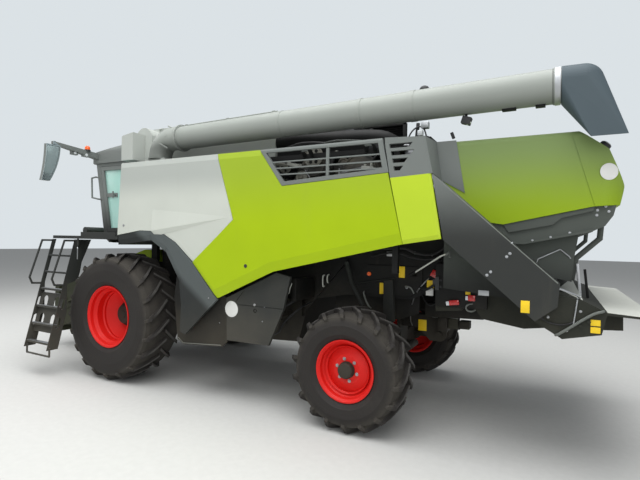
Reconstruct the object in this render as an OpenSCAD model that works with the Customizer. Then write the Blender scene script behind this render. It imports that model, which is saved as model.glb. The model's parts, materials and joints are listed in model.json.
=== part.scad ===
// Self-propelled combine harvester, parked without its header.
// Millimetres. +X points forward, +Y to the machine's left, +Z up, the ground is z = 0.
// Places are measured from the ground under the middle of the front axle,
// and place() then moves them so that the machine's length is centred on x = 0.

/* [Overall] */
// Length from the header face to the end of the straw spreader
overall_length = 8900; // [8800:20:9100]
// Distance from the front axle forward to the header face
front_overhang = 2600; // [2560:10:2680]
// Distance between the axles
wheelbase = 3630; // [3600:10:3700]
// Width over the side panels
body_width = 3036; // [3030:2:3080]
// Height of the side panels' upper edge
panel_top = 3060; // [3040:5:3090]
// Thickness of a side panel with its frame
panel_t = 40; // [30:1:46]

/* [Wheels] */
// Outer diameter of a front tyre
front_tyre_d = 1790; // [1750:10:1800]
// Width of a front tyre
front_tyre_w = 640; // [600:10:650]
// Outer diameter of a front rim's flange
front_rim_d = 870; // [850:10:890]
// Distance between the middles of the front tyres
front_track = 2600; // [2590:2:2620]
// Outer diameter of a rear tyre
rear_tyre_d = 1310; // [1290:10:1320]
// Width of a rear tyre
rear_tyre_w = 510; // [480:5:515]
// Outer diameter of a rear rim's flange
rear_rim_d = 660; // [640:5:680]
// Distance between the middles of the rear tyres
rear_track = 2546; // [2540:2:2560]
// Height of a tyre's lugs
lug_h = 50; // [40:1:54]
// Number of lugs on each side of a front tyre
front_lugs = 20; // [18:1:22]
// Number of lugs on each side of a rear tyre
rear_lugs = 18; // [16:1:20]

/* [Cab] */
// Width of the cab
cab_width = 1860; // [1800:10:1880]
// Height of the cab floor's underside
cab_floor = 2030; // [2020:2:2060]
// Height of the underside of the cab roof
cab_roof_z = 3230; // [3200:10:3250]
// Thickness of the cab's walls and pillars
cab_wall = 60; // [50:1:66]
// How far each mirror reaches from the middle of the machine
mirror_reach = 1950; // [1945:1:1990]

/* [Feeder and grain handling] */
// Width of the feeder house
feeder_width = 1360; // [1320:10:1380]
// Height of the feeder house's pivot
feeder_pivot_z = 1500; // [1490:5:1510]
// Wall of the feeder house
feeder_wall = 14; // [10:1:18]
// Outer diameter of the unloading tube
auger_d = 304; // [290:2:320]
// Wall of the unloading tube
auger_wall = 6; // [5:1:8]
// Length from the swivel to the end of the unloading tube
auger_length = 4900; // [4800:20:5000]
// Height of the grain tank's rim above the panels' upper edge
tank_rise = 540; // [530:5:570]
// Wall of the grain tank
tank_wall = 20; // [16:1:24]

/* [Hidden] */

$fn = 48;
front_axle_x = overall_length / 2 - front_overhang;
rear_end = front_overhang - overall_length;
side_y = body_width / 2;
panel_in = side_y - panel_t;
front_y = front_track / 2;
rear_y = rear_track / 2;
front_r = front_tyre_d / 2;
rear_r = rear_tyre_d / 2;
axle_x = -wheelbase;
// Running gap at pins and bores, gap between neighbouring panels, and gap between pieces that rest on each other
pin_gap = 0.5;
seam = 6;
rest_gap = 0.3;

// Colours
lime = [0.64, 0.76, 0.02];
light_grey = [0.80, 0.81, 0.78];
anthracite = [0.27, 0.28, 0.29];
dark = [0.12, 0.12, 0.13];
tube_grey = [0.62, 0.64, 0.60];
red = [0.85, 0.12, 0.06];
steel = [0.60, 0.61, 0.62];
orange = [0.90, 0.35, 0.05];
glass_tint = [0.60, 0.82, 0.78, 0.45];

// Moves a piece from the front axle's place to the middle of the machine's length
module place() {
    translate([front_axle_x, 0, 0]) children();
}

// Extrudes an outline drawn in y and z along the machine, from x0 to x1
module slab_x(x0, x1) {
    translate([x0, 0, 0]) rotate([90, 0, 90]) linear_extrude(x1 - x0) children();
}

// Extrudes an outline drawn in x and z across the machine, from y0 to y1
module slab(y0, y1) {
    translate([0, y1, 0]) rotate([90, 0, 0]) linear_extrude(y1 - y0) children();
}

// The same piece on the left and on the right
module both_sides() {
    children();
    mirror([0, 1, 0]) children();
}

// Keeps or mirrors a piece: side is 1 on the left and -1 on the right
module on_side(side) {
    if (side > 0) children();
    else mirror([0, 1, 0]) children();
}

// Straight round bar between two points
module bar(p, q, r) {
    v = q - p;
    translate(p) rotate([0, acos(v.z / norm(v)), atan2(v.y, v.x)]) cylinder(h = norm(v), r = r, $fn = 24);
}

// Bent round bar through a list of points, with a ball at each bend
module bent_bar(points, r) {
    for (i = [0 : len(points) - 2]) bar(points[i], points[i + 1], r);
    for (i = [1 : len(points) - 2]) translate(points[i]) sphere(r = r * 1.04, $fn = 24);
}

// Upright slot with round ends, drawn from its middle
module slot(length, width) {
    square([width, length - width], center = true);
    for (s = [-1, 1]) translate([0, s * (length - width) / 2]) circle(r = width / 2 - 0.01, $fn = 24);
}

// Wedge along an edge of a side panel, from p to q in x and z, which slopes the outer face
// back by depth over a band of the given width. The panel lies to the left of p to q.
module edge_bevel(p, q, band, depth) {
    v = q - p;
    over = 30;
    translate([p.x, side_y, p.y]) rotate([0, -atan2(v.y, v.x), 0]) translate([-over, 0, 0])
        rotate([90, 0, 90]) linear_extrude(norm(v) + 2 * over)
            polygon([[over, band], [0, band], [-depth - depth / band * 3, -3], [over, -3]]);
}

// Main frame

// Half width of the threshing body, which leaves room for the feeder house in front of it
core_y = feeder_width / 2 + 20;
beam_w = 80;
frame_z = 1050;
frame_h = 200;
body_top = 2000;
deck_top = 2290;
ear_t = 24;
feeder_pivot_x = 250;
feeder_r = 330;
pivot_r = 60;
hitch_r = 20;
// Panel hinges: place of their line and radius of their pins
hinge_y = panel_in - 25;
hinge_z = panel_top - 40;
hinge_pin_r = 8;
post_y = side_y - 218;
hinge_places = [-420, -1150, -1800, -2450, -3100, -3850];

// Ear that carries the feeder house's pivot, drawn in x and z
module frame_ear() {
    difference() {
        polygon([[feeder_pivot_x + 110, feeder_pivot_z - 90], [feeder_pivot_x + 110, feeder_pivot_z + 90],
            [feeder_pivot_x, feeder_pivot_z + 150], [-430, feeder_pivot_z + 150], [-430, frame_z + 10],
            [-120, frame_z + 10]]);
        translate([feeder_pivot_x, feeder_pivot_z]) circle(r = pivot_r + pin_gap);
    }
}

// Beam across one side of the machine: x and z give its corner, w and h its section
module outrigger(x, z, y0, y1, w, h) {
    translate([x, y0, z]) cube([w, y1 - y0, h]);
}

module main_frame() place() color(dark) {
    both_sides() {
        // Long side member with the ear of the feeder house's pivot
        translate([-2700, core_y, frame_z]) cube([2830, beam_w, frame_h]);
        slab(core_y, core_y + ear_t) frame_ear();
        // Post and beam that carry the cab
        translate([-80, core_y + ear_t, frame_z + frame_h - 1]) cube([120, beam_w - ear_t, 700]);
        translate([-110, core_y, cab_floor - 100]) cube([1080, beam_w, 100]);
        // Carriers of the lower panels and the hinge rail
        for (x = [-1450, -2560]) outrigger(x, frame_z + 10, core_y + beam_w - 1, post_y + 60, 60, 50);
        for (x = [-1450, -2560]) outrigger(x, 900, post_y, side_y - 140, 60, 160);
        translate([-1450, post_y, 900]) cube([60, 60, panel_top - 60 - 900]);
        outrigger(-740, 2020, core_y + beam_w, panel_in, 40, 40);
        outrigger(-740, frame_z + 50, core_y + beam_w - 1, core_y + beam_w + 50, 40, 2010 - frame_z);
        for (x = [-4150, -4350]) outrigger(x, 2200, core_y, post_y + 1, 60, 60);
        translate([-4150, post_y, 1700]) cube([60, 60, panel_top - 60 - 1700]);
        outrigger(-4350, 2200, post_y, panel_in, 60, 60);
        outrigger(-4150, 2200, post_y, post_y + 60, 60, 60);
        // Diagonal strut from the side member's end up to the separator's side
        slab(core_y, core_y + 30) polygon([[-2700, 1080], [-2620, 1080], [-3230, 1800], [-3320, 1800]]);
        // Rail along the upper edge of the side panels, with a fork and a pin for each hinge
        translate([-4220, post_y, panel_top - 110]) cube([4040, 60, 50]);
        for (x = hinge_places) {
            for (dx = [-52, 40]) translate([x + dx, post_y + 59, panel_top - 110])
                slab_x(0, 12) polygon([[0, 0], [60, 0], [hinge_y - post_y - 45, 56],
                    [hinge_y - post_y - 45, 84], [hinge_y - post_y - 73, 84], [0, 50]]);
            translate([x - 50, hinge_y, hinge_z]) rotate([0, 90, 0]) cylinder(h = 100, r = hinge_pin_r);
        }
        // Cheek of the tow hitch with its round boss
        slab(90, 114) {
            polygon([[axle_x - 410, 940], [axle_x - 410, 1110], [axle_x - 780, 1110], [axle_x - 760, 900],
                [axle_x - 690, 800], [axle_x - 560, 790]]);
            translate([axle_x - 670, 880]) circle(r = 90);
        }
        slab(114, 150) translate([axle_x - 670, 880]) circle(r = 42);
    }
    // Carrier of the rear axle's pivot under the threshing body, and the tow hitch behind it
    for (x = [axle_x - 190, axle_x + 150]) slab_x(x, x + 40)
        polygon([[-110, rear_r - 70], [110, rear_r - 70], [260, 1362], [-260, 1362]]);
    bar([axle_x - 191, 0, rear_r], [axle_x + 191, 0, rear_r], 45);
    translate([axle_x - 640, -90, 940]) cube([450, 180, 170]);
    for (z = [960, 1060]) translate([axle_x - 790, 0, z]) difference() {
        union() {
            translate([0, -90, 0]) cube([170, 180, 30]);
            cylinder(h = 30, r = 90);
        }
        translate([0, 0, -1]) cylinder(h = 32, r = hitch_r);
    }
}

// Threshing and separating body: a closed box of sheet metal with the cleaning shoe under it,
// ribs pressed into its sides and covers of the sieve box
shoe_line = [[-110, body_top], [-110, 1260], [-520, 1260], [-620, 1080], [-900, 700], [-1500, 640],
    [-2620, 700], [-2760, 1260], [-3300, 1362], [-4100, 1362], [-4560, 1560], [-4560, deck_top],
    [-2460, deck_top], [-2460, body_top]];
// Pressed ribs on its sides: [rear end, front end, height of the middle]
shoe_ribs = [[-4480, -3440, 1900], [-4480, -3300, 2080], [-2440, -1000, 930]];
module thresher_body() place() color(dark) {
    slab(-core_y, core_y) polygon(shoe_line);
    both_sides() {
        for (r = shoe_ribs) slab(core_y - 1, core_y + 14) polygon([[r[0], r[2] - 20], [r[1], r[2] - 20],
            [r[1] - 20, r[2] + 20], [r[0] + 20, r[2] + 20]]);
        // Cover of the returns elevator under the deck and the sieve box's end
        slab(core_y - 1, core_y + 26) polygon([[-4100, 1400], [-3420, 1400], [-3420, 1560], [-3560, 1740], [-4240, 1740],
            [-4240, 1520]]);
    }
}

// Front axle: a round beam with pads for the frame, final drives, hubs and lift cylinder brackets
hub_front_r = 125;
axle_tube_r = 130;
lift_pin = [150, 500];
lift_y = 480;
lift_pin_r = 25;
lift_eye_w = 80;
module lift_bracket() {
    polygon([[lift_pin.x + 55, lift_pin.y - 40], [lift_pin.x + 55, lift_pin.y + 50],
        [100, front_r - 45], [-100, front_r - 45], [-100, front_r - 255], [lift_pin.x - 55, lift_pin.y - 50]]);
}
module front_axle() place() color(dark) {
    translate([0, 0, front_r]) {
        rotate([90, 0, 0]) translate([0, 0, -front_y + 330]) cylinder(h = 2 * front_y - 660, r = axle_tube_r);
        both_sides() {
            // Final drive housing, a round case with a smaller one above and behind it
            slab(front_y - 400, front_y - 230) circle(r = 210);
            slab(front_y - 380, front_y - 250) {
                translate([-70, 190]) circle(r = 130);
                translate([-70, -10]) square([100, 210]);
            }
            // Brake housing and hub
            slab(front_y - 230, front_y - 180) circle(r = 170);
            translate([0, front_y - 20, 0]) rotate([90, 0, 0]) cylinder(h = 260, r = hub_front_r);
            translate([0, front_y - 5, 0]) rotate([90, 0, 0]) cylinder(h = 20, r = 70);
            translate([-110, core_y, 0]) cube([220, beam_w, frame_z - front_r]);
        }
        // Gearbox in the middle
        slab(-140, 140) circle(r = 190);
    }
    both_sides() {
        for (y = [lift_y - lift_eye_w / 2 - 22, lift_y + lift_eye_w / 2 + 2]) slab(y, y + 20) lift_bracket();
        translate([lift_pin.x, lift_y + lift_eye_w / 2 + 21, lift_pin.y]) rotate([90, 0, 0])
            cylinder(h = lift_eye_w + 42, r = lift_pin_r);
    }
}

// Rear axle: a box beam on a middle pivot, with a fork for each steered knuckle
king_y = rear_y - 350;
king_r = 40;
yoke_h = 150;
module rear_axle() place() color(dark) {
    difference() {
        union() {
            slab_x(axle_x - 90, axle_x + 90) polygon([[-king_y + 130, rear_r - yoke_h], [-king_y + 130, rear_r + yoke_h],
                [-330, rear_r + 110], [330, rear_r + 110], [king_y - 130, rear_r + yoke_h],
                [king_y - 130, rear_r - yoke_h], [330, rear_r - 120], [-330, rear_r - 120]]);
            both_sides() for (z = [rear_r - yoke_h, rear_r + yoke_h - 40]) translate([axle_x, king_y, z]) {
                cylinder(h = 40, r = 80);
                translate([-80, -140, 0]) cube([160, 140, 40]);
            }
            // Steering cylinder's barrel on two lugs behind the beam
            for (y = [-260, 220]) translate([axle_x - 230, y, rear_r - 40]) cube([141, 40, 80]);
            translate([axle_x - 255, 300, rear_r]) rotate([90, 0, 0]) cylinder(h = 600, r = 45);
        }
        bar([axle_x - 200, 0, rear_r], [axle_x + 200, 0, rear_r], 45.3);
        both_sides() translate([axle_x, king_y, rear_r - 200]) cylinder(h = 400, r = king_r + pin_gap);
    }
}

// Steered knuckle: king pin, yoke, spindle with its hub and a steering arm
spindle_r = 50;
hub_rear_r = 90;
module knuckle(side) place() color(dark) on_side(side) translate([axle_x, king_y, rear_r]) {
    translate([0, 0, -yoke_h - 10]) cylinder(h = 2 * yoke_h + 20, r = king_r);
    translate([0, 0, -yoke_h + 42]) cylinder(h = 2 * yoke_h - 84, r = 68);
    rotate([-90, 0, 0]) cylinder(h = 300, r = spindle_r);
    translate([0, 180, 0]) rotate([-90, 0, 0]) cylinder(h = 60, r = 130);
    translate([0, 239, 0]) rotate([-90, 0, 0]) cylinder(h = 261, r = hub_rear_r);
    translate([-260, -20, -30]) cube([240, 60, 50]);
    translate([-260, 10, -30]) cylinder(h = 50, r = 42);
}
module knuckle_left() knuckle(1);
module knuckle_right() knuckle(-1);

// Wheels

// Dished rim as one turned piece: seat is how far the disc lies in from the outer flange,
// dish is how far its middle lies further in, flat is the radius of its middle
module rim(d, w, seat, dish, flat, bore) {
    r = d / 2;
    half = w / 2 - 45;
    y = half - seat;
    rotate([-90, 0, 0]) rotate_extrude($fn = 96) polygon([[r, half], [r, half - 14], [r - 22, half - 24],
        [r - 26, half - 60], [r - 60, half - 100], [r - 60, -half + 100], [r - 26, -half + 60],
        [r - 22, -half + 24], [r, -half + 14], [r, -half], [r - 14, -half], [r - 36, -half + 22],
        [r - 42, -half + 66], [r - 76, -half + 106], [r - 76, y - 11], [flat, y - dish - 11],
        [bore, y - dish - 11], [bore, y - dish + 11], [flat, y - dish + 11], [r - 92, y + 11],
        [r - 92, y + 40], [r - 76, y + 56], [r - 76, half - 106], [r - 42, half - 66], [r - 36, half - 22],
        [r - 14, half]]);
}
module wheel_place(x, y, r) {
    place() translate([x, y, r]) children();
}
module front_rim(side) color(red) wheel_place(0, side * front_y, front_r)
    on_side(side) rim(front_rim_d, front_tyre_w, 250, 120, 190, hub_front_r + pin_gap);
module rear_rim(side) color(red) wheel_place(axle_x, side * rear_y, rear_r)
    on_side(side) rim(rear_rim_d, rear_tyre_w, 130, -40, 150, hub_rear_r + pin_gap);
module rim_front_left() front_rim(1);
module rim_front_right() front_rim(-1);
module rim_rear_left() rear_rim(1);
module rim_rear_right() rear_rim(-1);

// Bars of a lug's run from the tread's middle to below the shoulder:
// [share of the half width, way round the tread as a share of it, drop of the top, half thickness]
lug_run = [[-0.07, 0.01, 1, 24], [0.40, 0.42, 3, 27], [0.82, 0.74, 14, 33], [1.0, 0.84, 86, 30]];
// Depth of a lug's foot below the tread, and how far its end keeps inside the shoulder
lug_root = 27;
lug_inset = 52;
// Corner of a lug at station s of the run, on its leading or trailing side, at its top or foot
function lug_point(r, h, s, side, top) = let (
    reach = r - s[2] - (top ? 0 : lug_h + lug_root),
    turn = -(s[1] * h + side * (top ? 0.7 : 1) * s[3]) / r * 180 / PI)
    [reach * sin(turn), top ? s[0] * h : min(s[0] * h, h - lug_inset), reach * cos(turn)];
module lug(r, h) {
    n = len(lug_run);
    polyhedron(
        points = [for (s = lug_run) each [lug_point(r, h, s, 1, false), lug_point(r, h, s, -1, false),
            lug_point(r, h, s, -1, true), lug_point(r, h, s, 1, true)]],
        faces = concat([[3, 2, 1, 0]], [for (i = [0 : n - 2], k = [0 : 3])
            let (a = 4 * i + k, b = 4 * i + (k + 1) % 4) each [[a, b, a + 4], [b, b + 4, a + 4]]],
            [[4 * n - 4, 4 * n - 3, 4 * n - 2, 4 * n - 1]]));
}

// Tyre: a turned carcass with two rows of slanting lugs, half a pitch apart
module tyre(d, w, rim_d, lugs) {
    r = d / 2;
    flange = rim_d / 2;
    bead = flange - 21.7;
    h = w / 2;
    seat = h - 45 - 24.4;
    rotate([-90, 0, 0]) rotate_extrude($fn = 96) polygon([[bead, -seat], [flange + 2, -seat - 9.2],
        [bead + 80, -h + 14], [(r + bead) / 2, -h], [r - 150, -h + 8], [r - 90, -h + 26],
        [r - lug_h - 18, -h + 70], [r - lug_h, -h * 0.35], [r - lug_h, h * 0.35], [r - lug_h - 18, h - 70],
        [r - 90, h - 26], [r - 150, h - 8], [(r + bead) / 2, h], [bead + 80, h - 14],
        [flange + 2, seat + 9.2], [bead, seat]]);
    for (i = [0 : lugs - 1]) {
        rotate([0, i * 360 / lugs, 0]) lug(r, h);
        rotate([0, (i + 0.5) * 360 / lugs, 0]) mirror([0, 1, 0]) lug(r, h);
    }
}
module front_tyre(side) color(dark) wheel_place(0, side * front_y, front_r)
    tyre(front_tyre_d, front_tyre_w, front_rim_d, front_lugs);
module rear_tyre(side) color(dark) wheel_place(axle_x, side * rear_y, rear_r)
    tyre(rear_tyre_d, rear_tyre_w, rear_rim_d, rear_lugs);
module tyre_front_left() front_tyre(1);
module tyre_front_right() front_tyre(-1);
module tyre_rear_left() rear_tyre(1);
module tyre_rear_right() rear_tyre(-1);

// Side panels

// Outer edge of the front wheel arch, from its front end down to the lower panel: [x, height over the axle]
arch_edge = [for (p = [[-119, 1150], [-562, 1223], [-943, 1212], [-1218, 1072], [-1514, 822], [-1920, 395]])
    [p.x, front_r + p.y]];
// Inner edge of the arch, round the wheel: [x, height over the axle]
arch_inner = [for (p = [[-165, 1020], [-759, 1094], [-1042, 940], [-1284, 587], [-1327, 269], [-1310, -65]])
    [p.x, front_r + p.y]];
// Colour boundary between the light and the lime panel: [x, z]
boundary = [arch_edge[4], [-2157, 2254], [-1892, panel_top]];
// Corners of the grille: upper front, lower front, lower rear, upper rear: [x, z]
grille_corners = [[-2519, panel_top], [-2836, 2626], [-4084, 2707], [-4016, panel_top]];
panel_rear_low = [-4243, 2001];
panel_mid_low = [-2721, 1657];
// Crease across the light panel, from its front end to its rear end: [x, z]
crease = [[-640, 2112], [-2140, 2262]];
crease_drop = 517;

// Hinge eyes on a panel, which turn on the rail's pins
module panel_eyes(places) {
    for (x = places) difference() {
        translate([x - 36, 0, 0]) union() {
            translate([0, hinge_y, hinge_z]) rotate([0, 90, 0]) cylinder(h = 72, r = 16);
            translate([0, hinge_y, hinge_z - 15]) cube([72, panel_in - hinge_y + 1, 24]);
        }
        translate([x - 40, hinge_y, hinge_z]) rotate([0, 90, 0]) cylinder(h = 80, r = hinge_pin_r + pin_gap);
    }
}

module light_panel(side) place() color(light_grey) on_side(side) {
    panel_eyes([hinge_places[0], hinge_places[1], hinge_places[2]]);
    light_plate();
}
module light_plate() difference() {
    slab(panel_in, side_y) polygon([[-146, panel_top], [-91, arch_edge[0].y + 4], arch_edge[1], arch_edge[2],
        arch_edge[3], boundary[0] + [0, seam], boundary[1] + [seam, 0], boundary[2] + [seam, 0]]);
    edge_bevel([-146, panel_top], [-1892, panel_top], 70, 16);
    edge_bevel(crease[1] - [52, crease_drop], crease[0] - [52, crease_drop], 520, 24);
    edge_bevel([-91, arch_edge[0].y + 4], [-146, panel_top], 22, 10);
}
module light_panel_left() light_panel(1);
module light_panel_right() light_panel(-1);

module green_panel(side) place() color(lime) on_side(side) {
    panel_eyes([hinge_places[3]]);
    green_plate();
}
module green_plate() difference() {
    slab(panel_in, side_y) polygon([boundary[2], boundary[1], boundary[0], arch_edge[5] + [-seam, seam],
        panel_mid_low, panel_rear_low, grille_corners[2], grille_corners[1], grille_corners[0]]);
    edge_bevel(panel_mid_low, arch_edge[5] + [-seam, seam], 110, 22);
    edge_bevel(panel_rear_low, panel_mid_low, 110, 20);
    edge_bevel(arch_edge[5] + [-seam, seam], boundary[0], 40, 12);
    edge_bevel(boundary[2], grille_corners[0], 70, 16);
}
module green_panel_left() green_panel(1);
module green_panel_right() green_panel(-1);

// Grille: a frame with one upright divider and three slim bars before the engine
grille_bars = 3;
grille_hole = [grille_corners[0] + [-93, -42], grille_corners[1] + [-23, 52], grille_corners[2] + [61, 47],
    grille_corners[3] + [43, -42]];
module grille(side) place() color(anthracite) on_side(side) {
    panel_eyes([hinge_places[4], hinge_places[5]]);
    difference() {
        slab(panel_in, side_y - 4) polygon([grille_corners[0] + [-seam, 0], grille_corners[1] + [seam / 2, seam],
            grille_corners[2] + [-seam, seam], grille_corners[3]]);
        slab(panel_in - 1, side_y) polygon(grille_hole);
        edge_bevel(grille_corners[0], grille_corners[3], 30, 12);
    }
    slab(panel_in + 8, side_y - 10) intersection() {
        polygon([for (i = [0 : 3]) grille_hole[i] + [[10, 10], [10, -10], [-10, -10], [-10, 10]][i]]);
        union() {
            translate([-3420, 2600]) square([34, 460]);
            for (i = [1 : grille_bars]) translate([-4200, 2752 + (i - 1) * 72]) square([1800, 14]);
        }
    }
}
module grille_left() grille(1);
module grille_right() grille(-1);

// Wheel arches over the front wheels, each with a mudguard strip that reaches inwards
module fenders() place() color(anthracite) both_sides() {
    difference() {
        slab(panel_in, side_y) polygon([arch_edge[0] + [-6, -7], [-130, arch_inner[0].y], arch_inner[0], arch_inner[1],
            arch_inner[2], arch_inner[3], arch_inner[4], arch_inner[5], [-1420, front_r - 95],
            arch_edge[5] + [-5, -15], arch_edge[4] + [0, -seam], arch_edge[3] + [0, -seam],
            arch_edge[2] + [0, -seam], arch_edge[1] + [0, -seam]]);
        for (i = [0 : 4]) edge_bevel(arch_inner[i + 1], arch_inner[i], 70, 18 - i % 2);
    }
    slab(front_y - front_tyre_w / 2 - 40, panel_in + 1) polygon(concat(
        [for (p = arch_inner) if (p.y > arch_inner[5].y) p],
        [for (i = [4 : -1 : 0]) arch_inner[i] + [[0, 22], [-6, 23], [-18, 20], [-24, 10], [-23, 0]][i]]));
}

// Lower side panels with the tool box, behind the front wheels
module lower_panels() place() color(anthracite) both_sides() {
    out = side_y - 100;
    difference() {
        slab(out - 40, out) polygon([[-1345, 850], [-2005, 779], [-2628, 784], [-2824, 1220],
            [-2909, 1600], [-2721, 1640], [-1940, 1270], [-1560, 920]]);
        // Seams of the tool box's door
        slab(out - 8, out + 1) {
            translate([-2008, 770]) square([10, 460]);
            translate([-2840, 1224]) square([850, 9]);
            polygon([[-2112, 1228], [-2256, 1402], [-2264, 1396], [-2124, 1228]]);
        }
        // Recess of the latch
        slab(out - 14, out + 1) translate([-2433, 1174]) circle(r = 26);
    }
    slab(out - 15, out - 4) translate([-2433, 1174]) circle(r = 13);
}

// Rear side panels, lime below and the louvred dark part above
module rear_panels() place() color(lime) both_sides() difference() {
    slab(panel_in, side_y) polygon([[-4108, 2655], panel_rear_low + [-seam, 0], [-4616, 2058], [-4512, 2680]]);
    edge_bevel([-4616, 2058], panel_rear_low + [-seam, 0], 40, 12);
    edge_bevel([-4512, 2680], [-4616, 2058], 24, 10);
}

// Diagonal dark guards over the straw hood's drives, with the louvred parts and corner panels
hood_y = 1250;
// Slots of the louvred part: [front end, rear end, height of the upper edge]
louvres = [[-4092, -4330, 2993], [-4110, -4345, 2920], [-4126, -4285, 2845], [-4140, -4240, 2768]];
louvre_h = 44;
module side_guards() place() color(anthracite) both_sides() {
    difference() {
        slab(panel_in, side_y) polygon([[-4046, panel_top], [-4050, panel_top - 70], [-4108, 2655],
            [-4512, 2680], [-4437, 3040]]);
        for (s = louvres) slab(panel_in - 1, side_y + 1) polygon([[s[0], s[2]], [s[1], s[2]],
            [s[1] + 34, s[2] - louvre_h], [s[0] - 8, s[2] - louvre_h]]);
    }
    // Guard plate with its flange, which slopes back to the hood
    difference() {
        slab(panel_in, side_y - 2) polygon([[-4522, 2676], [-5605, 1688], [-5590, 1500], [-5420, 1364],
            [-4636, 2050]]);
        edge_bevel([-4522, 2676], [-5605, 1688], 14, 8);
    }
    slab(hood_y, panel_in) polygon([[-4522, 2676], [-5605, 1688], [-5600, 1660], [-4524, 2644]]);
    // Corner between the panel's plane and the hood, and the dark plate on the hood
    hull() {
        slab(side_y - 12, side_y) polygon([[-4438, 3040], [-4452, 3040], [-4527, 2680], [-4513, 2680]]);
        slab(hood_y + 8, hood_y + 10) polygon([[-4480, 3030], [-4500, 3030], [-4560, 2645], [-4540, 2640]]);
    }
    slab(hood_y, hood_y + 9) polygon([[-4480, 3030], [-4690, 3030], [-4780, 2510], [-4560, 2640]]);
}

// Rear straw hood on the threshing body, its lower funnel and the straw chopper with its spreader
funnel_line = [[-4560, deck_top], [-5130, 2204], [-5860, 2360]];
chopper_line = [[-4560, 1560], [-5200, 1500], [-5560, 1720]];
hood_tail = [[-5730, 3030], [-5960, 2850], [-6090, 2540], [-6050, 2370]];
corner_r = 190;
module rear_hood() place() color(lime) difference() {
    intersection() {
        slab(-hood_y, hood_y) polygon(concat([[-4480, 3030]], hood_tail,
            [funnel_line[2], funnel_line[1], funnel_line[0], [-4480, deck_top]]));
        // Plan with rounded rear corners
        translate([0, 0, 2000]) linear_extrude(1200) {
            translate([-6090 + corner_r, -hood_y]) square([1700, 2 * hood_y]);
            translate([-6090, -hood_y + corner_r]) square([400, 2 * (hood_y - corner_r)]);
            for (s = [-1, 1]) translate([-6090 + corner_r, s * (hood_y - corner_r)]) circle(r = corner_r - 0.01);
        }
        // Section with rounded upper edges
        slab_x(-6200, -4400) {
            translate([-hood_y, 2000]) square([2 * hood_y, 1030 - 60]);
            translate([-hood_y + 60, 2000]) square([2 * hood_y - 120, 1030]);
            for (s = [-1, 1]) translate([s * (hood_y - 60), 2970]) circle(r = 59.99);
        }
    }
    // Seam of the rear cap
    both_sides() slab(hood_y - 5, hood_y + 1) polygon([[-5672, 3040], [-5866, 2350], [-5858, 2350], [-5664, 3040]]);
    translate([-5672, -hood_y, 3025]) cube([8, 2 * hood_y, 10]);
}
module hood_base() place() color(anthracite) {
    // Ledge under the hood, box, flange and funnel, one below the other: [half width, outline]
    slab(-hood_y + 30, hood_y - 30) polygon([funnel_line[0], funnel_line[1], funnel_line[2], [-6020, 2366],
        [-6000, 2280], [-5940, 2190], [-5860, 2150], [-5300, 2030], [-4700, 2130], [-4560, 2200]]);
    slab(-hood_y + 10, hood_y - 10) polygon([[-5130, 2203], [-5600, 2300], [-5860, 2359], [-5852, 2320],
        [-5610, 2262], [-5540, 2200], [-5180, 2130]]);
    slab(-hood_y + 15, hood_y - 15) polygon([[-5310, 2046], [-5860, 2164], [-5850, 2140], [-5310, 2022], [-4800, 2040],
        [-4800, 2060]]);
    slab(-hood_y + 130, hood_y - 130) polygon([[-4560, 2201], [-5300, 2031], [-5750, 2120], [-5719, 1915],
        [-5700, 1690], chopper_line[2], chopper_line[1], chopper_line[0]]);
    // Bent tubes and brackets that carry the chopper
    both_sides() {
        bent_bar([[-5923, 1060, 2200], [-5914, 1060, 2084], [-5732, 1060, 1902], [-5700, 1060, 1700]], 24);
    }
}
spreader_line = [[-5420, 1360], [-5626, 1224], [-5912, 1290], [-5951, 1470], [-5775, 1560], [-5560, 1600]];
module straw_chopper() place() color(anthracite) {
    slab(-850, 850) polygon([[-4700, 1546.8], chopper_line[1], chopper_line[2], [-5640, 1420], [-5626, 1230],
        [-5300, 1180], [-4900, 1240]]);
    // Side plates of the spreader and the plate over it
    both_sides() {
        slab(panel_in - 60, panel_in - 40) polygon(spreader_line);
        slab(panel_in - 40, panel_in - 24) {
            for (i = [0 : 1]) translate([-5760 - i * 60, 1350 + i * 40]) circle(r = 14);
        }
        for (y = [300, 700, 1100]) slab(y, y + 16) polygon([[-5636, 1260], [-6094, 1292], [-6092, 1442],
            [-5945, 1456], [-5770, 1546], [-5600, 1570]]);
    }
    slab(-panel_in + 40, panel_in - 40) polygon([[-5560, 1600], [-5775, 1562], [-5951, 1474], [rear_end, 1452],
        [rear_end, 1438], [-5945, 1452], [-5770, 1540], [-5560, 1580]]);
    slab(-panel_in + 41, panel_in - 41) polygon([[-5400, 1360], [-5626, 1225], [-5660, 1250], [-5450, 1400]]);
}

// Cab

cab_rear = -60;
cab_y = cab_width / 2;
cab_front_low = 974;
cab_front_top = 1206;
// Lean of the windscreen, whose top lies further forward than its foot
lean = atan2(cab_front_top - cab_front_low, cab_roof_z - cab_floor);
// Front edge of the cab's side at height z
function cab_front(z) = cab_front_low + (z - cab_floor) * tan(lean);
screen_bulge = 220;
screen_r = (cab_y * cab_y + screen_bulge * screen_bulge) / (2 * screen_bulge);
glass_t = 8;
pillar_w = 90;
door_rear = 190;
// Line of the door's hinges behind its rear edge, and heights of the two hinges
door_hinge = [door_rear - 20, cab_y + 30];
door_hinge_z = [cab_floor + 220, cab_roof_z - 260];
door_pin_r = 9;
door_eye_r = 17;
door_eye_h = 60;
lamp_r = 58;

module cab_side(x0, front_inset, z0, z1) {
    polygon([[x0, z0], [cab_front(z0) - front_inset, z0], [cab_front(z1) - front_inset, z1], [x0, z1]]);
}
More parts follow.
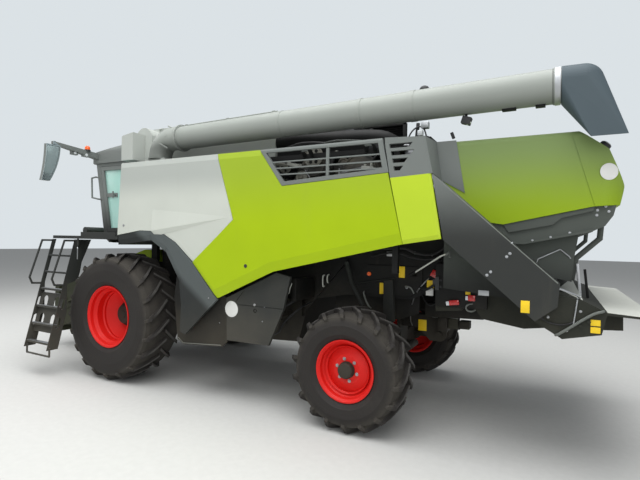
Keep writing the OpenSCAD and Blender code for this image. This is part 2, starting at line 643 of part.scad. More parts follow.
// Bow-shaped plan of the windscreen's outer face, grown outwards by g, in front of the pillars
module bow(g) {
    intersection() {
        translate([screen_bulge - screen_r, 0]) circle(r = screen_r + g, $fn = 96);
        translate([0, -cab_y]) square([screen_bulge + 60, 2 * cab_y]);
    }
}
module cab_shell() place() color(dark) {
    difference() {
        slab(-cab_y, cab_y) cab_side(cab_rear, 0, cab_floor, cab_roof_z);
        slab(-cab_y + cab_wall, cab_y - cab_wall) polygon([[cab_rear + cab_wall, cab_floor + cab_wall],
            [1600, cab_floor + cab_wall], [1600, cab_roof_z - cab_wall], [cab_rear + cab_wall, cab_roof_z - cab_wall]]);
        // Doorway on the left and window on the right
        slab(cab_y - cab_wall - 1, cab_y + 1) cab_side(door_rear, pillar_w, cab_floor + 70, cab_roof_z - 50);
        slab(-cab_y - 1, -cab_y + cab_wall + 1) cab_side(door_rear, pillar_w, cab_floor + 120, cab_roof_z - 70);
        // Rear window
        slab_x(cab_rear - 1, cab_rear + cab_wall + 1) translate([-700, cab_floor + 700]) square([1400, 400]);
    }
    // Bowed front of the floor, with a lower sill
    translate([cab_front_low, 0, cab_floor]) linear_extrude(cab_wall + 20) bow(0);
    translate([cab_front_low, 0, cab_floor - 60]) linear_extrude(61) bow(-60);
    // Hinge pins of the door, each between two ears on the rear pillar
    for (z = door_hinge_z) translate([door_hinge.x, door_hinge.y, z]) {
        for (dz = [-door_eye_h / 2 - 22, door_eye_h / 2 + 2]) translate([0, 0, dz]) {
            cylinder(h = 20, r = door_eye_r);
            translate([-door_eye_r, cab_y - door_hinge.y - 1, 0])
                cube([2 * door_eye_r, door_hinge.y - cab_y + 1, 20]);
        }
        translate([0, 0, -door_eye_h / 2 - 21]) cylinder(h = door_eye_h + 42, r = door_pin_r);
    }
    // Grab handle on the left front pillar
    bent_bar([[1120, cab_y - 5, 3000], [1150, cab_y + 50, 3004], [1242, cab_y + 56, 2990],
        [1222, cab_y + 56, 2668], [1080, cab_y + 50, 2640], [1060, cab_y - 5, 2636]], 13);
}
// Roof: its side outline, cut to a bowed plan and to a section with rounded upper edges
roof_over = 30;
roof_h = 300;
module cab_roof() place() color(dark) {
    difference() {
        intersection() {
            slab(-cab_y - roof_over, cab_y + roof_over) polygon([[cab_rear - 20, cab_roof_z], [1430, cab_roof_z],
                [1446, cab_roof_z + 50], [1250, cab_roof_z + 175], [600, cab_roof_z + roof_h - 25],
                [cab_rear - 20, cab_roof_z + roof_h]]);
            translate([0, 0, cab_roof_z - 1]) linear_extrude(roof_h + 10) {
                translate([cab_rear - 40, -cab_y - roof_over]) square([1250 - cab_rear + 40, 2 * (cab_y + roof_over)]);
                translate([1240, 0]) bow(roof_over);
            }
            slab_x(cab_rear - 40, 1500) {
                translate([-cab_y - roof_over, cab_roof_z - 1]) square([2 * (cab_y + roof_over), roof_h - 129]);
                translate([-cab_y - roof_over + 130, cab_roof_z - 1]) square([2 * (cab_y + roof_over) - 260, roof_h + 10]);
                for (s = [-1, 1]) translate([s * (cab_y + roof_over - 130), cab_roof_z + roof_h - 130])
                    circle(r = 129.99);
            }
        }
        // Recesses of the work lamps under the visor, and a pressed field on top
        for (y = [-600, -300, 300, 600]) translate([1330, y, cab_roof_z - 5]) cylinder(h = 30, r = lamp_r);
        translate([200, -500, cab_roof_z + roof_h - 26]) cube([300, 1000, 40]);
    }
    // Seat of the beacon
    translate([700, 500, cab_roof_z + roof_h - 60]) cylinder(h = 50, r = 70);
}
module cab_glass() place() color(glass_tint) {
    intersection() {
        translate([cab_front_low, 0, cab_floor]) rotate([0, lean, 0]) linear_extrude(1400) difference() {
            bow(0);
            bow(-glass_t);
            translate([-1, -cab_y - 1]) square([2, 2 * cab_y + 2]);
        }
        translate([0, -cab_y, cab_floor + cab_wall + 20]) cube([2000, 2 * cab_y, cab_roof_z - cab_floor - cab_wall - 20]);
    }
    slab(-cab_y + 20, -cab_y + 20 + glass_t) cab_side(door_rear, pillar_w, cab_floor + 120, cab_roof_z - 70);
    slab_x(cab_rear + 20, cab_rear + 20 + glass_t) translate([-700, cab_floor + 700]) square([1400, 400]);
}

// Driver's seat on its pedestal, with an armrest console on the right
seat_x = 200;
cab_inner = cab_floor + cab_wall;
module cab_seat() place() color(dark) translate([seat_x, 0, cab_inner]) {
    slab(-170, 170) polygon([[60, 0], [400, 0], [360, 260], [90, 260]]);
    slab(-245, 245) polygon([[20, 250], [500, 270], [540, 320], [520, 370], [140, 350], [40, 780], [-20, 840],
        [-70, 820], [-60, 740], [-10, 330]]);
    slab(-130, 130) polygon([[-20, 810], [40, 780], [20, 980], [-50, 980]]);
    // Armrest with the drive lever
    slab(-400, -290) polygon([[100, 380], [540, 400], [600, 470], [560, 480], [100, 460]]);
    translate([150, -300, 270]) cube([120, 140, 120]);
    bar([500, -345, 440], [520, -345, 600], 18);
    translate([520, -345, 610]) sphere(r = 38, $fn = 24);
}
// Steering column with its wheel
wheel_tilt = 24;
column_x = 850;
module cab_console() place() color(dark) {
    translate([column_x, 0, cab_inner]) cylinder(h = 60, r = 100);
    bar([column_x, 0, cab_inner + 40], [column_x - 70, 0, cab_inner + 560], 45);
    translate([column_x - 80, 0, cab_inner + 620]) rotate([0, -wheel_tilt, 0]) {
        rotate_extrude() translate([190, 0]) circle(r = 15, $fn = 24);
        translate([0, 0, -90]) cylinder(h = 100, r = 55);
        for (a = [0, 120, 240]) rotate([0, 0, a]) bar([30, 0, 0], [188, 0, 0], 12);
    }
}

// Door in the left wall: a frame that swings on the rear pillar's pins
door_gap = 6;
door_frame_w = 64;
module door_plate(inset) {
    cab_side(door_rear + door_gap + inset, pillar_w + door_gap + inset, cab_floor + 70 + door_gap + inset,
        cab_roof_z - 50 - door_gap - inset);
}
module cab_door() place() color(dark) {
    difference() {
        slab(cab_y - cab_wall, cab_y) door_plate(0);
        slab(cab_y - cab_wall - 1, cab_y + 1) door_plate(door_frame_w);
    }
    // Hinge eyes
    for (z = door_hinge_z) difference() {
        union() {
            translate([door_hinge.x, door_hinge.y, z - door_eye_h / 2]) cylinder(h = door_eye_h, r = door_eye_r);
            translate([door_hinge.x, cab_y + 4, z - door_eye_h / 2]) cube([90, door_hinge.y - cab_y - 4, door_eye_h]);
            translate([door_rear + door_gap + 2, cab_y - 1, z - door_eye_h / 2]) cube([62, 8, door_eye_h]);
        }
        translate([door_hinge.x, door_hinge.y, z - door_eye_h]) cylinder(h = 2 * door_eye_h, r = door_pin_r + pin_gap);
    }
    // Lock plate across the glass with its handle
    slab(cab_y - 26, cab_y - 14) polygon([[700, 2672], [1000, 2672], [1000, 2736], [700, 2736]]);
    bar([738, cab_y - 20, 2704], [738, cab_y + 34, 2704], 12);
    bar([738, cab_y + 34, 2650], [738, cab_y + 34, 2758], 13);
}
module door_glass() place() color(glass_tint)
    slab(cab_y - 26 - glass_t - rest_gap, cab_y - 26 - rest_gap) door_plate(door_frame_w);

// Platform beside the cab with its tread pattern, brackets and a stowed tube at its front edge
platform_y = cab_y + 40;
platform_z = 1985;
platform_t = 45;
platform_w = [-110, 1390];
platform_out = side_y + 2;
ladder_hinge = [800, side_y - 18];
ladder_pin_r = 12;
tube_box_r = 55;
module platform() place() color(dark) {
    difference() {
        translate([platform_w[0], platform_y, platform_z])
            cube([platform_w[1] - platform_w[0], platform_out - platform_y, platform_t]);
        // Rows of holes in the tread
        for (i = [0 : 5], k = [0 : 1]) translate([60 + i * 240, platform_y + 130 + k * 220, platform_z - 1])
            linear_extrude(platform_t + 2) rotate(90) slot(170, 110);
    }
    // Toe rail along the outer edge, up to the ladder
    translate([-60, platform_out - 12, platform_z + platform_t - 1]) cube([770, 12, 60]);
    // Brackets on the cab's beam
    for (x = [60, 860]) slab_x(x, x + 60) polygon([[core_y + beam_w + rest_gap, platform_z - 50],
        [core_y + beam_w + rest_gap, platform_z + 40], [platform_y + 20, platform_z + 20],
        [platform_y + 20, platform_z - 4], [platform_y - 40, platform_z - 4], [platform_y - 90, platform_z - 50]]);
    // Stowed tube on its saddle
    translate([1300, 1050, platform_z + platform_t + tube_box_r + 40]) rotate([90, 0, 0])
        cylinder(h = 320, r = tube_box_r);
    translate([1260, 980, platform_z + platform_t - 1]) cube([80, 50, 70]);
    // Pin of the ladder's hinge
    translate([ladder_hinge.x, ladder_hinge.y, platform_z - 125]) cylinder(h = 126, r = ladder_pin_r);
}

// Ladder: two side plates, flat rungs, a slotted back plate and two handrails. It swings forward on its hinge.
ladder_x = ladder_hinge.x;
ladder_w = 560;
ladder_top = platform_z - 11;
ladder_foot = 380;
ladder_out = [side_y + 32, 1940];
ladder_slope = (ladder_out[1] - ladder_out[0]) / (ladder_top - ladder_foot);
plate_t = 10;
rungs = 6;
// Outer edge of the side plates at height z
function ladder_y(z) = ladder_out[0] + (ladder_top - z) * ladder_slope;
// Heights of the holes in the side plates
ladder_holes = [1023, 763];
module ladder_side(x, guard) {
    difference() {
        slab_x(x, x + plate_t) polygon(concat([[ladder_y(ladder_top), ladder_top], [ladder_y(ladder_foot), ladder_foot],
            [ladder_y(ladder_foot) - 165, ladder_foot], [1655, 900], [1655, 1310]],
            guard ? [[1500, 1360], [1482, 1400], [1458, 1480], [1432, 1631], [1282, ladder_top]]
                : [[1490, ladder_top]]));
        for (z = ladder_holes) slab_x(x - 1, x + plate_t + 1)
            translate([ladder_y(z) - 62, z]) rotate(atan(ladder_slope)) slot(160, 76);
    }
    bent_bar([[x + plate_t / 2, ladder_y(1950) - 6, 1955], [x + plate_t / 2, ladder_y(1950) + 150, 1955],
        [x + plate_t / 2, ladder_y(1400) + 190, 1400], [x + plate_t / 2, ladder_y(1310) + 130, 1310],
        [x + plate_t / 2, ladder_y(1300) - 6, 1300]], 14);
}
module ladder() place() color(dark) {
    difference() {
        union() {
            ladder_side(ladder_x, true);
            // Hinge eye, which turns on the platform's pin
            translate([ladder_hinge.x, ladder_hinge.y, ladder_top - 94]) cylinder(h = 92, r = 24);
        }
        translate([ladder_hinge.x, ladder_hinge.y, ladder_top - 300]) cylinder(h = 400, r = ladder_pin_r + pin_gap);
    }
    ladder_side(ladder_x + ladder_w - plate_t, false);
    for (i = [0 : rungs - 1]) {
        z = 1710 - i * 252;
        translate([ladder_x + 1, ladder_y(z) - 78, z]) cube([ladder_w - 2, 62, 26]);
    }
    // Back plate behind the lower rungs
    translate([ladder_x, 1655, 1310]) rotate([12, 0, 0]) difference() {
        translate([0, 1, -730]) cube([ladder_w, 7, 580]);
        for (x = [0.26, 0.74], z = [-285, -550]) translate([x * ladder_w, -1, z]) rotate([-90, 0, 0])
            linear_extrude(12) slot(180, 110);
    }
    // Bottom step
    bent_bar([for (e = [[0, 0], [0, 1], [1, 1], [1, 0]]) [ladder_x + plate_t / 2 + e[0] * (ladder_w - plate_t),
        ladder_y(ladder_foot) - 45, ladder_foot + 30 - 120 * e[1]]], 13);
}

// Mirrors on tapered arms at the roof's front corners. The housing bends outwards to its foot.
mirror_top = cab_roof_z + 140;
mirror_h = 540;
mirror_x = 1010;
// Middle of the housing at share t of its way down, and its half width there
function mirror_mid(t) = [mirror_reach - 180 + 104 * t * t, mirror_top - mirror_h * t];
function mirror_half(t) = 104 - 44 * t * t;
module mirror_outline(inset) {
    polygon(concat([for (t = [0 : 0.125 : 1]) mirror_mid(t) + [mirror_half(t) - inset, (1 - 2 * t) * -inset]],
        [for (t = [1 : -0.125 : 0]) mirror_mid(t) + [-mirror_half(t) + inset, (1 - 2 * t) * -inset]]));
}
module mirrors() place() color(dark) both_sides() {
    difference() {
        slab_x(mirror_x, mirror_x + 60) mirror_outline(0);
        slab_x(mirror_x - 1, mirror_x + 12) mirror_outline(14);
    }
    slab_x(mirror_x + 6, mirror_x + 13) mirror_outline(20);
    bar([mirror_x + 30, mirror_reach - 210, mirror_top - 40], [mirror_x + 30, mirror_reach - 210, mirror_top + 60], 16);
    // Arm with two work lamps under it
    hull() {
        translate([1110, cab_y + roof_over + rest_gap, cab_roof_z + 70]) cube([120, 4, 90]);
        translate([mirror_x + 5, mirror_reach - 180, mirror_top + 10]) cube([50, 4, 44]);
    }
    for (y = [1150, 1340]) translate([1080, y, cab_roof_z + 64]) cube([60, 100, 56]);
}

// Grain tank with its shoulder and the shelf of the unloading tube

tank_top = panel_top + tank_rise;
tank_front = -130;
tank_rear = -2450;
tank_y = 1080;
shelf_top = panel_top + 43.7;
auger_y = side_y - 218;
auger_x = -690;
auger_r = auger_d / 2;
// Hinges of the tank's lids: their line, pins and eyes, and their places along the tank
lid_hinge = [tank_y + 6, tank_top + 10];
lid_pin_r = 5;
lid_eye_r = 10.5;
lid_hinges = [-450, -1290, -2130];
module grain_tank() place() color(light_grey) {
    difference() {
        union() {
            slab_x(tank_rear, tank_front) polygon([[-700, body_top], [-tank_y, 2500], [-tank_y, tank_top],
                [tank_y, tank_top], [tank_y, 2500], [700, body_top]]);
            // Shoulder box over the left front corner, and the rounded hump of the elevator's head
            slab(tank_y - 10, side_y - 20) polygon([[tank_front, panel_top + 42], [tank_front, 3440], [-150, 3452],
                [-361, 3482], [-361, panel_top + 42]]);
            slab(tank_y - 10, auger_y - 10) {
                polygon([[tank_front - 20, panel_top + 42], [tank_front - 20, 3470], [-330, 3470], [-490, 3470],
                    [-490, panel_top + 42]]);
                translate([-330, 3430]) circle(r = 160);
            }
            translate([auger_x - auger_r - 40, tank_y - 10, panel_top + 5])
                cube([2 * auger_r + 80, panel_in - 66 - tank_y + 10, shelf_top - panel_top - 5]);
            // Rim round the tank's upper edge, and ribs down its rear wall
            for (y = [-700, 0, 700]) translate([tank_rear - 30, y - 20, 2600]) cube([31, 40, tank_top - 2640]);
        }
        slab_x(tank_rear + tank_wall, tank_front - tank_wall) polygon([[-680, body_top + 30],
            [-tank_y + tank_wall, 2510], [-tank_y + tank_wall, tank_top + 1], [tank_y - tank_wall, tank_top + 1],
            [tank_y - tank_wall, 2510], [680, body_top + 30]]);
    }
    // Ears and pins of the lids' hinges
    both_sides() for (x = lid_hinges) {
        for (dx = [-34, 22]) slab_x(x + dx, x + dx + 12) {
            translate(lid_hinge) circle(r = lid_eye_r);
            translate([tank_y - 1, tank_top - 40]) square([12, 50]);
        }
        translate([x - 33, lid_hinge.x, lid_hinge.y]) rotate([0, 90, 0]) cylinder(h = 66, r = lid_pin_r);
    }
}
// Lid half: a folded sheet with pressed ribs, which swings on the tank's pins
module tank_lid(side) place() color(tube_grey) on_side(side) {
    slab_x(tank_rear, tank_front) polygon([[3, tank_top + 18], [3, tank_top + 38], [tank_y - 8, tank_top + 20],
        [tank_y - 8, tank_top + rest_gap], [tank_y - 30, tank_top + rest_gap]]);
    for (i = [0 : 3]) translate([tank_front - 280 - i * 560, 0, 0])
        slab_x(-60, 60) polygon([[60, tank_top + 30], [90, tank_top + 50], [tank_y - 110, tank_top + 34],
            [tank_y - 80, tank_top + 16]]);
    for (x = lid_hinges) difference() {
        union() {
            translate([x - 20, lid_hinge.x, lid_hinge.y]) rotate([0, 90, 0]) cylinder(h = 40, r = lid_eye_r);
            translate([x - 20, tank_y - 26, lid_hinge.y - 6]) cube([40, 32, 16]);
        }
        translate([x - 30, lid_hinge.x, lid_hinge.y]) rotate([0, 90, 0]) cylinder(h = 60, r = lid_pin_r + pin_gap);
    }
}
module tank_lid_left() tank_lid(1);
module tank_lid_right() tank_lid(-1);

// Engine with the drives that show through the grilles, and the deck over it

module stadium(c1, r1, c2, r2) {
    hull() {
        translate(c1) circle(r = r1, $fn = 32);
        translate(c2) circle(r = r2, $fn = 32);
    }
}
engine_y = [-450, 950];
deck_z = 3060;
deck_x = [-4400, -2500];
deck_y = 1100;
// Pulleys of the left drive: [x, z, radius, inner y, outer y]
pulleys = [[-3060, 2915, 140, 1130, 1190], [-2880, 2740, 80, 1140, 1180], [-3640, 2780, 210, 1130, 1200],
    [-3440, 2900, 60, 1150, 1190]];
module engine() place() color(dark) {
    translate([-3900, engine_y[0], deck_top]) cube([1200, engine_y[1] - engine_y[0], 650]);
    // Cylinder head cover with ribs, and the side cover of the drive
    for (i = [0 : 4]) translate([-3780 + i * 200, 0, deck_top + 649]) cube([120, 500, 60]);
    slab(engine_y[1] - 1, engine_y[1] + 60) polygon([[-3880, deck_top + 60], [-2740, deck_top + 60],
        [-2740, deck_top + 420], [-2860, deck_top + 600], [-3760, deck_top + 600], [-3880, deck_top + 480]]);
    for (p = pulleys) {
        difference() {
            slab(p[3], p[4]) translate([p[0], p[1]]) circle(r = p[2]);
            slab(p[4] - 14, p[4] + 1) translate([p[0], p[1]]) difference() {
                circle(r = p[2] - 14);
                circle(r = 34);
            }
        }
        translate([p[0], p[3] + 1, p[1]]) rotate([90, 0, 0]) cylinder(h = p[3] - engine_y[1] + 2, r = 26);
    }
    // Belts
    for (b = [[0, 1, 1152, 1168], [2, 3, 1155, 1175]]) slab(b[2], b[3]) difference() {
        stadium([pulleys[b[0]][0], pulleys[b[0]][1]], pulleys[b[0]][2] + 10,
            [pulleys[b[1]][0], pulleys[b[1]][1]], pulleys[b[1]][2] + 10);
        stadium([pulleys[b[0]][0], pulleys[b[0]][1]], pulleys[b[0]][2] - 4,
            [pulleys[b[1]][0], pulleys[b[1]][1]], pulleys[b[1]][2] - 4);
    }
    // Tensioner's arm and spring rod
    bar([-3200, 1010, 2560], [-3440, 1100, 2905], 20);
    bar([-3440, 1100, 2905], [-3440, 1160, 2905], 20);
    bar([-2960, 1012, 2480], [-3330, 1060, 2740], 14);
}
module engine_deck() place() color(dark) {
    difference() {
        translate([deck_x[0], -deck_y, deck_z]) cube([deck_x[1] - deck_x[0], 2 * deck_y, 70]);
        translate([deck_x[0] + 60, -deck_y + 60, deck_z + 50]) cube([760, 2 * deck_y - 120, 40]);
    }
    for (x = [deck_x[0], deck_x[1] - 60], y = [-deck_y, deck_y - 60])
        translate([x, y, deck_top]) cube([60, 60, deck_z - deck_top + 1]);
    both_sides() for (x = [deck_x[0], deck_x[1] - 60]) translate([x, core_y - 1, deck_top]) cube([60, deck_y - core_y + 1, 60]);
    // Round air screen of the radiator with its hub and arms
    translate([-2960, -520, deck_z + 69]) {
        difference() {
            cylinder(h = 150, r = 400);
            translate([0, 0, 90]) cylinder(h = 100, r = 384);
            translate([0, 0, 40]) cylinder(h = 100, r = 340);
        }
        cylinder(h = 140, r = 60);
        for (a = [0 : 45 : 315]) rotate([0, 0, a]) translate([50, -8, 60]) cube([300, 16, 30]);
    }
    // Exhaust with its turned end, and the air filter's housing
    bent_bar([[-3300, 620, deck_z + 60], [-3300, 620, deck_z + 330], [-3420, 620, deck_z + 420]], 62);
    translate([-3700, 200, deck_z + 230]) rotate([0, 90, 0]) cylinder(h = 620, r = 150);
    for (x = [-3620, -3200]) translate([x, 120, deck_z + 60]) cube([50, 160, 60]);
}

// Lamps: beacon on the cab roof, work lamps under its visor and lamp groups at the rear
tail_lamps = [[-4440, 1440], [-4440, 1560]];
module lamps() place() color(orange) {
    translate([700, 500, cab_roof_z + roof_h - 10 + rest_gap]) {
        cylinder(h = 30, r = 66);
        translate([0, 0, 29]) cylinder(h = 76, r = 56);
        translate([0, 0, 105]) scale([1, 1, 0.5]) sphere(r = 55, $fn = 32);
    }
    for (y = [-600, -300, 300, 600]) translate([1330, y, cab_roof_z + 3]) cylinder(h = 21.9, r = lamp_r - 0.5);
    both_sides() {
        // Lamp group behind the rear wheels, on a bracket from the body
        translate([-4470, core_y + 0.3, 1580]) cube([60, 250, 50]);
        translate([-4482, 860, 1520]) cube([40, 110, 140]);
        for (z = [1555, 1625]) translate([-4481, 915, z]) rotate([0, -90, 0]) cylinder(h = 22, r = 32);
    }
}

// Unloading tube: an elbow that swivels on its shelf, the long tube and a rubber spout
auger_z = panel_top + 310;
bend_r = 230;
elbow_end = 400;
flange_t = 20;
tube_rise = 0.65;
spout_t = 12;
tube_l = auger_length - elbow_end;
module unloading_tube() place() color(tube_grey) translate([auger_x, auger_y, 0]) {
    // Elbow with a ring at its foot
    translate([0, 0, shelf_top + rest_gap]) cylinder(h = auger_z - bend_r - shelf_top - rest_gap, r = auger_r);
    translate([0, 0, shelf_top + rest_gap]) cylinder(h = 16, r = auger_r + 12);
    translate([-bend_r, 0, auger_z - bend_r]) rotate([90, 0, 0])
        rotate_extrude(angle = 90) translate([bend_r, 0]) circle(r = auger_r);
    translate([-elbow_end, 0, auger_z]) rotate([0, 90, 0]) cylinder(h = elbow_end - bend_r, r = auger_r);
    translate([-elbow_end, 0, auger_z]) rotate([0, 90, 0]) cylinder(h = flange_t, r = auger_r + 22);
    // Crossed straps of the swivel cylinder on the elbow's outer side, and the loop over its top
    bar([40, auger_r - 30, auger_z - 190], [-250, auger_r - 8, auger_z + 20], 12);
    bar([-270, auger_r - 20, auger_z - 150], [-30, auger_r - 12, auger_z - 30], 12);
    bent_bar([[-250, -50, auger_z + auger_r - 20], [-60, -70, auger_z + auger_r + 66],
        [40, 0, auger_z + auger_r + 60], [-60, 70, auger_z + auger_r + 66], [-250, 50, auger_z + auger_r - 20]], 9);
    // Long tube, which rises a little to its free end
    translate([-elbow_end, 0, auger_z]) rotate([0, -90 + tube_rise, 0]) {
        difference() {
            union() {
                cylinder(h = tube_l, r = auger_r);
                translate([0, 0, -8]) cylinder(h = flange_t + 8, r = auger_r + 26);
                translate([0, 0, tube_l - 60]) cylinder(h = 40, r = auger_r + 8);
                for (s = [0.35, 0.7]) translate([0, 0, s * tube_l]) cylinder(h = 60, r = auger_r + 4);
                // Blocks of the rod on top
                for (z = [60, 760, 1460]) translate([auger_r - 6, -15, z]) cube([30, 30, 40]);
            }
            translate([0, 0, 60]) cylinder(h = auger_length, r = auger_r - auger_wall);
        }
        translate([auger_r + 14, 0, 50]) cylinder(h = 1480, r = 9);
    }
}
tube_end = [auger_x - elbow_end - tube_l * cos(tube_rise), auger_z + tube_l * sin(tube_rise)];
// Hood at the tube's free end: round at the tube, bent down over a knee, square at its foot
spout_r = auger_r + 10;
// Drop of the foot's inner and outer edge below the tube's middle
spout_drop = [380, 500];
// Front and rear edge of the foot behind the tube's end
spout_foot = [222, 479];
module spout_skin(wall) translate([tube_end.x, auger_y, tube_end.y]) hull() {
    translate([-12 - wall, 0, 0]) rotate([0, 90, 0]) cylinder(h = 9.6, r = spout_r - wall, $fn = 40);
    translate([-165, 0, 0]) sphere(r = spout_r - 4 - wall, $fn = 40);
    for (s = [0, 1]) translate([wall - spout_foot[1], (2 * s - 1) * (spout_r - wall - 2) - 2, -spout_drop[s] - wall])
        cube([spout_foot[1] - spout_foot[0] - 2 * wall, 4, 6]);
}
module tube_spout() place() color(anthracite) difference() {
    spout_skin(0);
    spout_skin(spout_t);
    translate([tube_end.x - 20, auger_y, tube_end.y]) rotate([0, 90, 0])
        cylinder(h = 30, r = spout_r - spout_t - 0.5, $fn = 40);
}

// Feeder house: a sloping channel that turns on stub shafts at its upper end

mouth_top = 1060;
mouth_low = 320;
feeder_y = feeder_width / 2;
feeder_back = [feeder_pivot_x + 110, feeder_pivot_z + 311];
feeder_slope = (feeder_back.y - mouth_top) / (front_overhang - feeder_back.x);
lift_eye = [1100, 780];
// Ring of the header's coupling frame round the mouth
frame_ring = [120, 46];
module feeder_outline(wall) {
    difference() {
        union() {
            translate([feeder_pivot_x, feeder_pivot_z]) circle(r = feeder_r - wall);
            polygon([feeder_back - [0, wall], [front_overhang + 1, mouth_top - wall],
                [front_overhang + 1, mouth_low + wall], [feeder_pivot_x - 110, feeder_pivot_z - 311 + wall]]);
        }
        translate([front_overhang, 0]) square([100, 2000]);
    }
}
module feeder_house() place() color(lime) {
    difference() {
        union() {
            slab(-feeder_y, feeder_y) feeder_outline(0);
            slab_x(front_overhang - frame_ring[0], front_overhang) translate([-feeder_y - frame_ring[1],
                mouth_low - frame_ring[1]]) square([2 * (feeder_y + frame_ring[1]), mouth_top - mouth_low + 2 * frame_ring[1]]);
        }
        slab(-feeder_y + feeder_wall, feeder_y - feeder_wall) {
            feeder_outline(feeder_wall);
            translate([front_overhang - 1, mouth_low + feeder_wall]) square([10, mouth_top - mouth_low - 2 * feeder_wall]);
        }
    }
    // Cross ribs on the cover
    for (x = [900, 1450, 2000]) translate([x, 0, feeder_back.y - (x - feeder_back.x) * feeder_slope])
        rotate([0, atan(feeder_slope), 0]) translate([-30, -feeder_y + 20, -2]) cube([60, 2 * feeder_y - 40, 40]);
    both_sides() {
        translate([feeder_pivot_x, core_y + ear_t + 4, feeder_pivot_z]) rotate([90, 0, 0])
            cylinder(h = ear_t + 28, r = pivot_r);
        // Lugs of the lift cylinders with their pins
        for (y = [lift_y - lift_eye_w / 2 - 22, lift_y + lift_eye_w / 2 + 2]) slab(y, y + 20)
            polygon([lift_eye + [-45, -45], lift_eye + [45, -45], lift_eye + [130, 40], lift_eye + [-130, 130]]);
        translate([lift_eye.x, lift_y + lift_eye_w / 2 + 21, lift_eye.y]) rotate([90, 0, 0])
            cylinder(h = lift_eye_w + 42, r = lift_pin_r);
        // Long stiffeners on the sides, and hooks over the coupling frame
        slab(feeder_y - 1, feeder_y + 24) polygon([[700, 1330], [2400, 740], [2400, 680], [700, 1270]]);
        for (y = [380]) slab(y, y + 60) polygon([[front_overhang - 100, mouth_top + 40], [front_overhang - 10, mouth_top + 40],
            [front_overhang - 30, mouth_top + 110], [front_overhang - 80, mouth_top + 110]]);
    }
    // Guard of the header drive on the left side
    slab(feeder_y - 1, feeder_y + 80) stadium([780, 1420], 110, [2250, 900], 80);
    slab(feeder_y + 79, feeder_y + 100) translate([2250, 900]) circle(r = 50);
}

// Slatted feeder chain: three strands round two drums, with slats all round them
chain_front = [2330, 650];
chain_back = [feeder_pivot_x, feeder_pivot_z];
chain_r = 130;
chain_run = norm(chain_back - chain_front);
chain_turn = atan2(chain_back.y - chain_front.y, chain_back.x - chain_front.x);
slats = 26;
// Place and heading of a point at length s along the chain's loop, in x and z: [point, angle of its outer side]
function chain_at(s) = let (u = [cos(chain_turn), sin(chain_turn)], v = [-u.y, u.x], half = PI * chain_r)
    s < chain_run ? [chain_front + u * s - v * chain_r, chain_turn - 90]
    : s < chain_run + half ? let (a = chain_turn - 90 + (s - chain_run) / chain_r * 180 / PI)
        [chain_back + chain_r * [cos(a), sin(a)], a]
    : s < 2 * chain_run + half ? [chain_back - u * (s - chain_run - half) + v * chain_r, chain_turn + 90]
    : let (a = chain_turn + 90 + (s - 2 * chain_run - half) / chain_r * 180 / PI)
        [chain_front + chain_r * [cos(a), sin(a)], a];
module feeder_chain() place() color(steel) {
    for (c = [chain_front, chain_back]) translate([c.x, 0, c.y]) rotate([90, 0, 0])
        cylinder(h = 2 * (feeder_y - feeder_wall - rest_gap), r = chain_r - 10, center = true);
    for (y = [-500, 0, 500]) slab(y - 25, y + 25) difference() {
        stadium(chain_front, chain_r, chain_back, chain_r);
        stadium(chain_front, chain_r - 14, chain_back, chain_r - 14);
    }
    for (i = [0 : slats - 1]) {
        p = chain_at((i + 0.5) * 2 * (chain_run + PI * chain_r) / slats);
        translate([p[0].x, 0, p[0].y]) rotate([0, -p[1], 0]) translate([-6, -feeder_y + feeder_wall + 30, -4])
            cube([34, 2 * (feeder_y - feeder_wall - 30), 8]);
    }
}

// Lift cylinders: barrels on the front axle's brackets, rods to the feeder house
lift_v = lift_eye - lift_pin;
lift_l = norm(lift_v);
lift_tilt = atan2(lift_v.y, lift_v.x);
barrel_l = lift_l - 190;
barrel_r = 55;
rod_r = 30;
// Extra room in the rod's eye, for the small drift of the opened linkage
eye_drift = 2.5;
module lift_barrels() place() color(dark) both_sides() translate([lift_pin.x, lift_y, lift_pin.y])
    rotate([0, -lift_tilt, 0]) difference() {
        union() {
            rotate([90, 0, 0]) cylinder(h = lift_eye_w, r = 50, center = true);
            translate([20, 0, 0]) rotate([0, 90, 0]) cylinder(h = 100, r = 38);
            translate([95, 0, 0]) rotate([0, 90, 0]) cylinder(h = barrel_l - 95, r = barrel_r);
            translate([barrel_l - 40, 0, 0]) rotate([0, 90, 0]) cylinder(h = 40, r = barrel_r + 8);
        }
        rotate([90, 0, 0]) cylinder(h = 200, r = lift_pin_r + pin_gap, center = true);
        translate([120, 0, 0]) rotate([0, 90, 0]) cylinder(h = barrel_l, r = rod_r + pin_gap);
    }
module lift_rods() place() color(steel) both_sides() translate([lift_pin.x, lift_y, lift_pin.y])
    rotate([0, -lift_tilt, 0]) difference() {
        union() {
            translate([300, 0, 0]) rotate([0, 90, 0]) cylinder(h = lift_l - 300, r = rod_r);
            translate([lift_l, 0, 0]) rotate([90, 0, 0]) cylinder(h = lift_eye_w, r = 46, center = true);
        }
        translate([lift_l, 0, 0]) rotate([90, 0, 0])
            cylinder(h = 200, r = lift_pin_r + pin_gap + eye_drift, center = true);
    }

main_frame();
thresher_body();
front_axle();
rear_axle();
grain_tank();
engine();
engine_deck();
cab_shell();
cab_roof();
cab_glass();
cab_seat();
cab_console();
platform();
mirrors();
fenders();
lower_panels();
rear_panels();
side_guards();
rear_hood();
hood_base();
straw_chopper();
lamps();
feeder_house();
feeder_chain();
lift_barrels();
lift_rods();
cab_door();
door_glass();
ladder();
light_panel_left();
green_panel_left();
grille_left();
light_panel_right();
green_panel_right();
grille_right();
unloading_tube();
tube_spout();
tank_lid_left();
tank_lid_right();
knuckle_left();
knuckle_right();
rim_front_left();
rim_front_right();
rim_rear_left();
rim_rear_right();
tyre_front_left();
tyre_front_right();
tyre_rear_left();
tyre_rear_right();
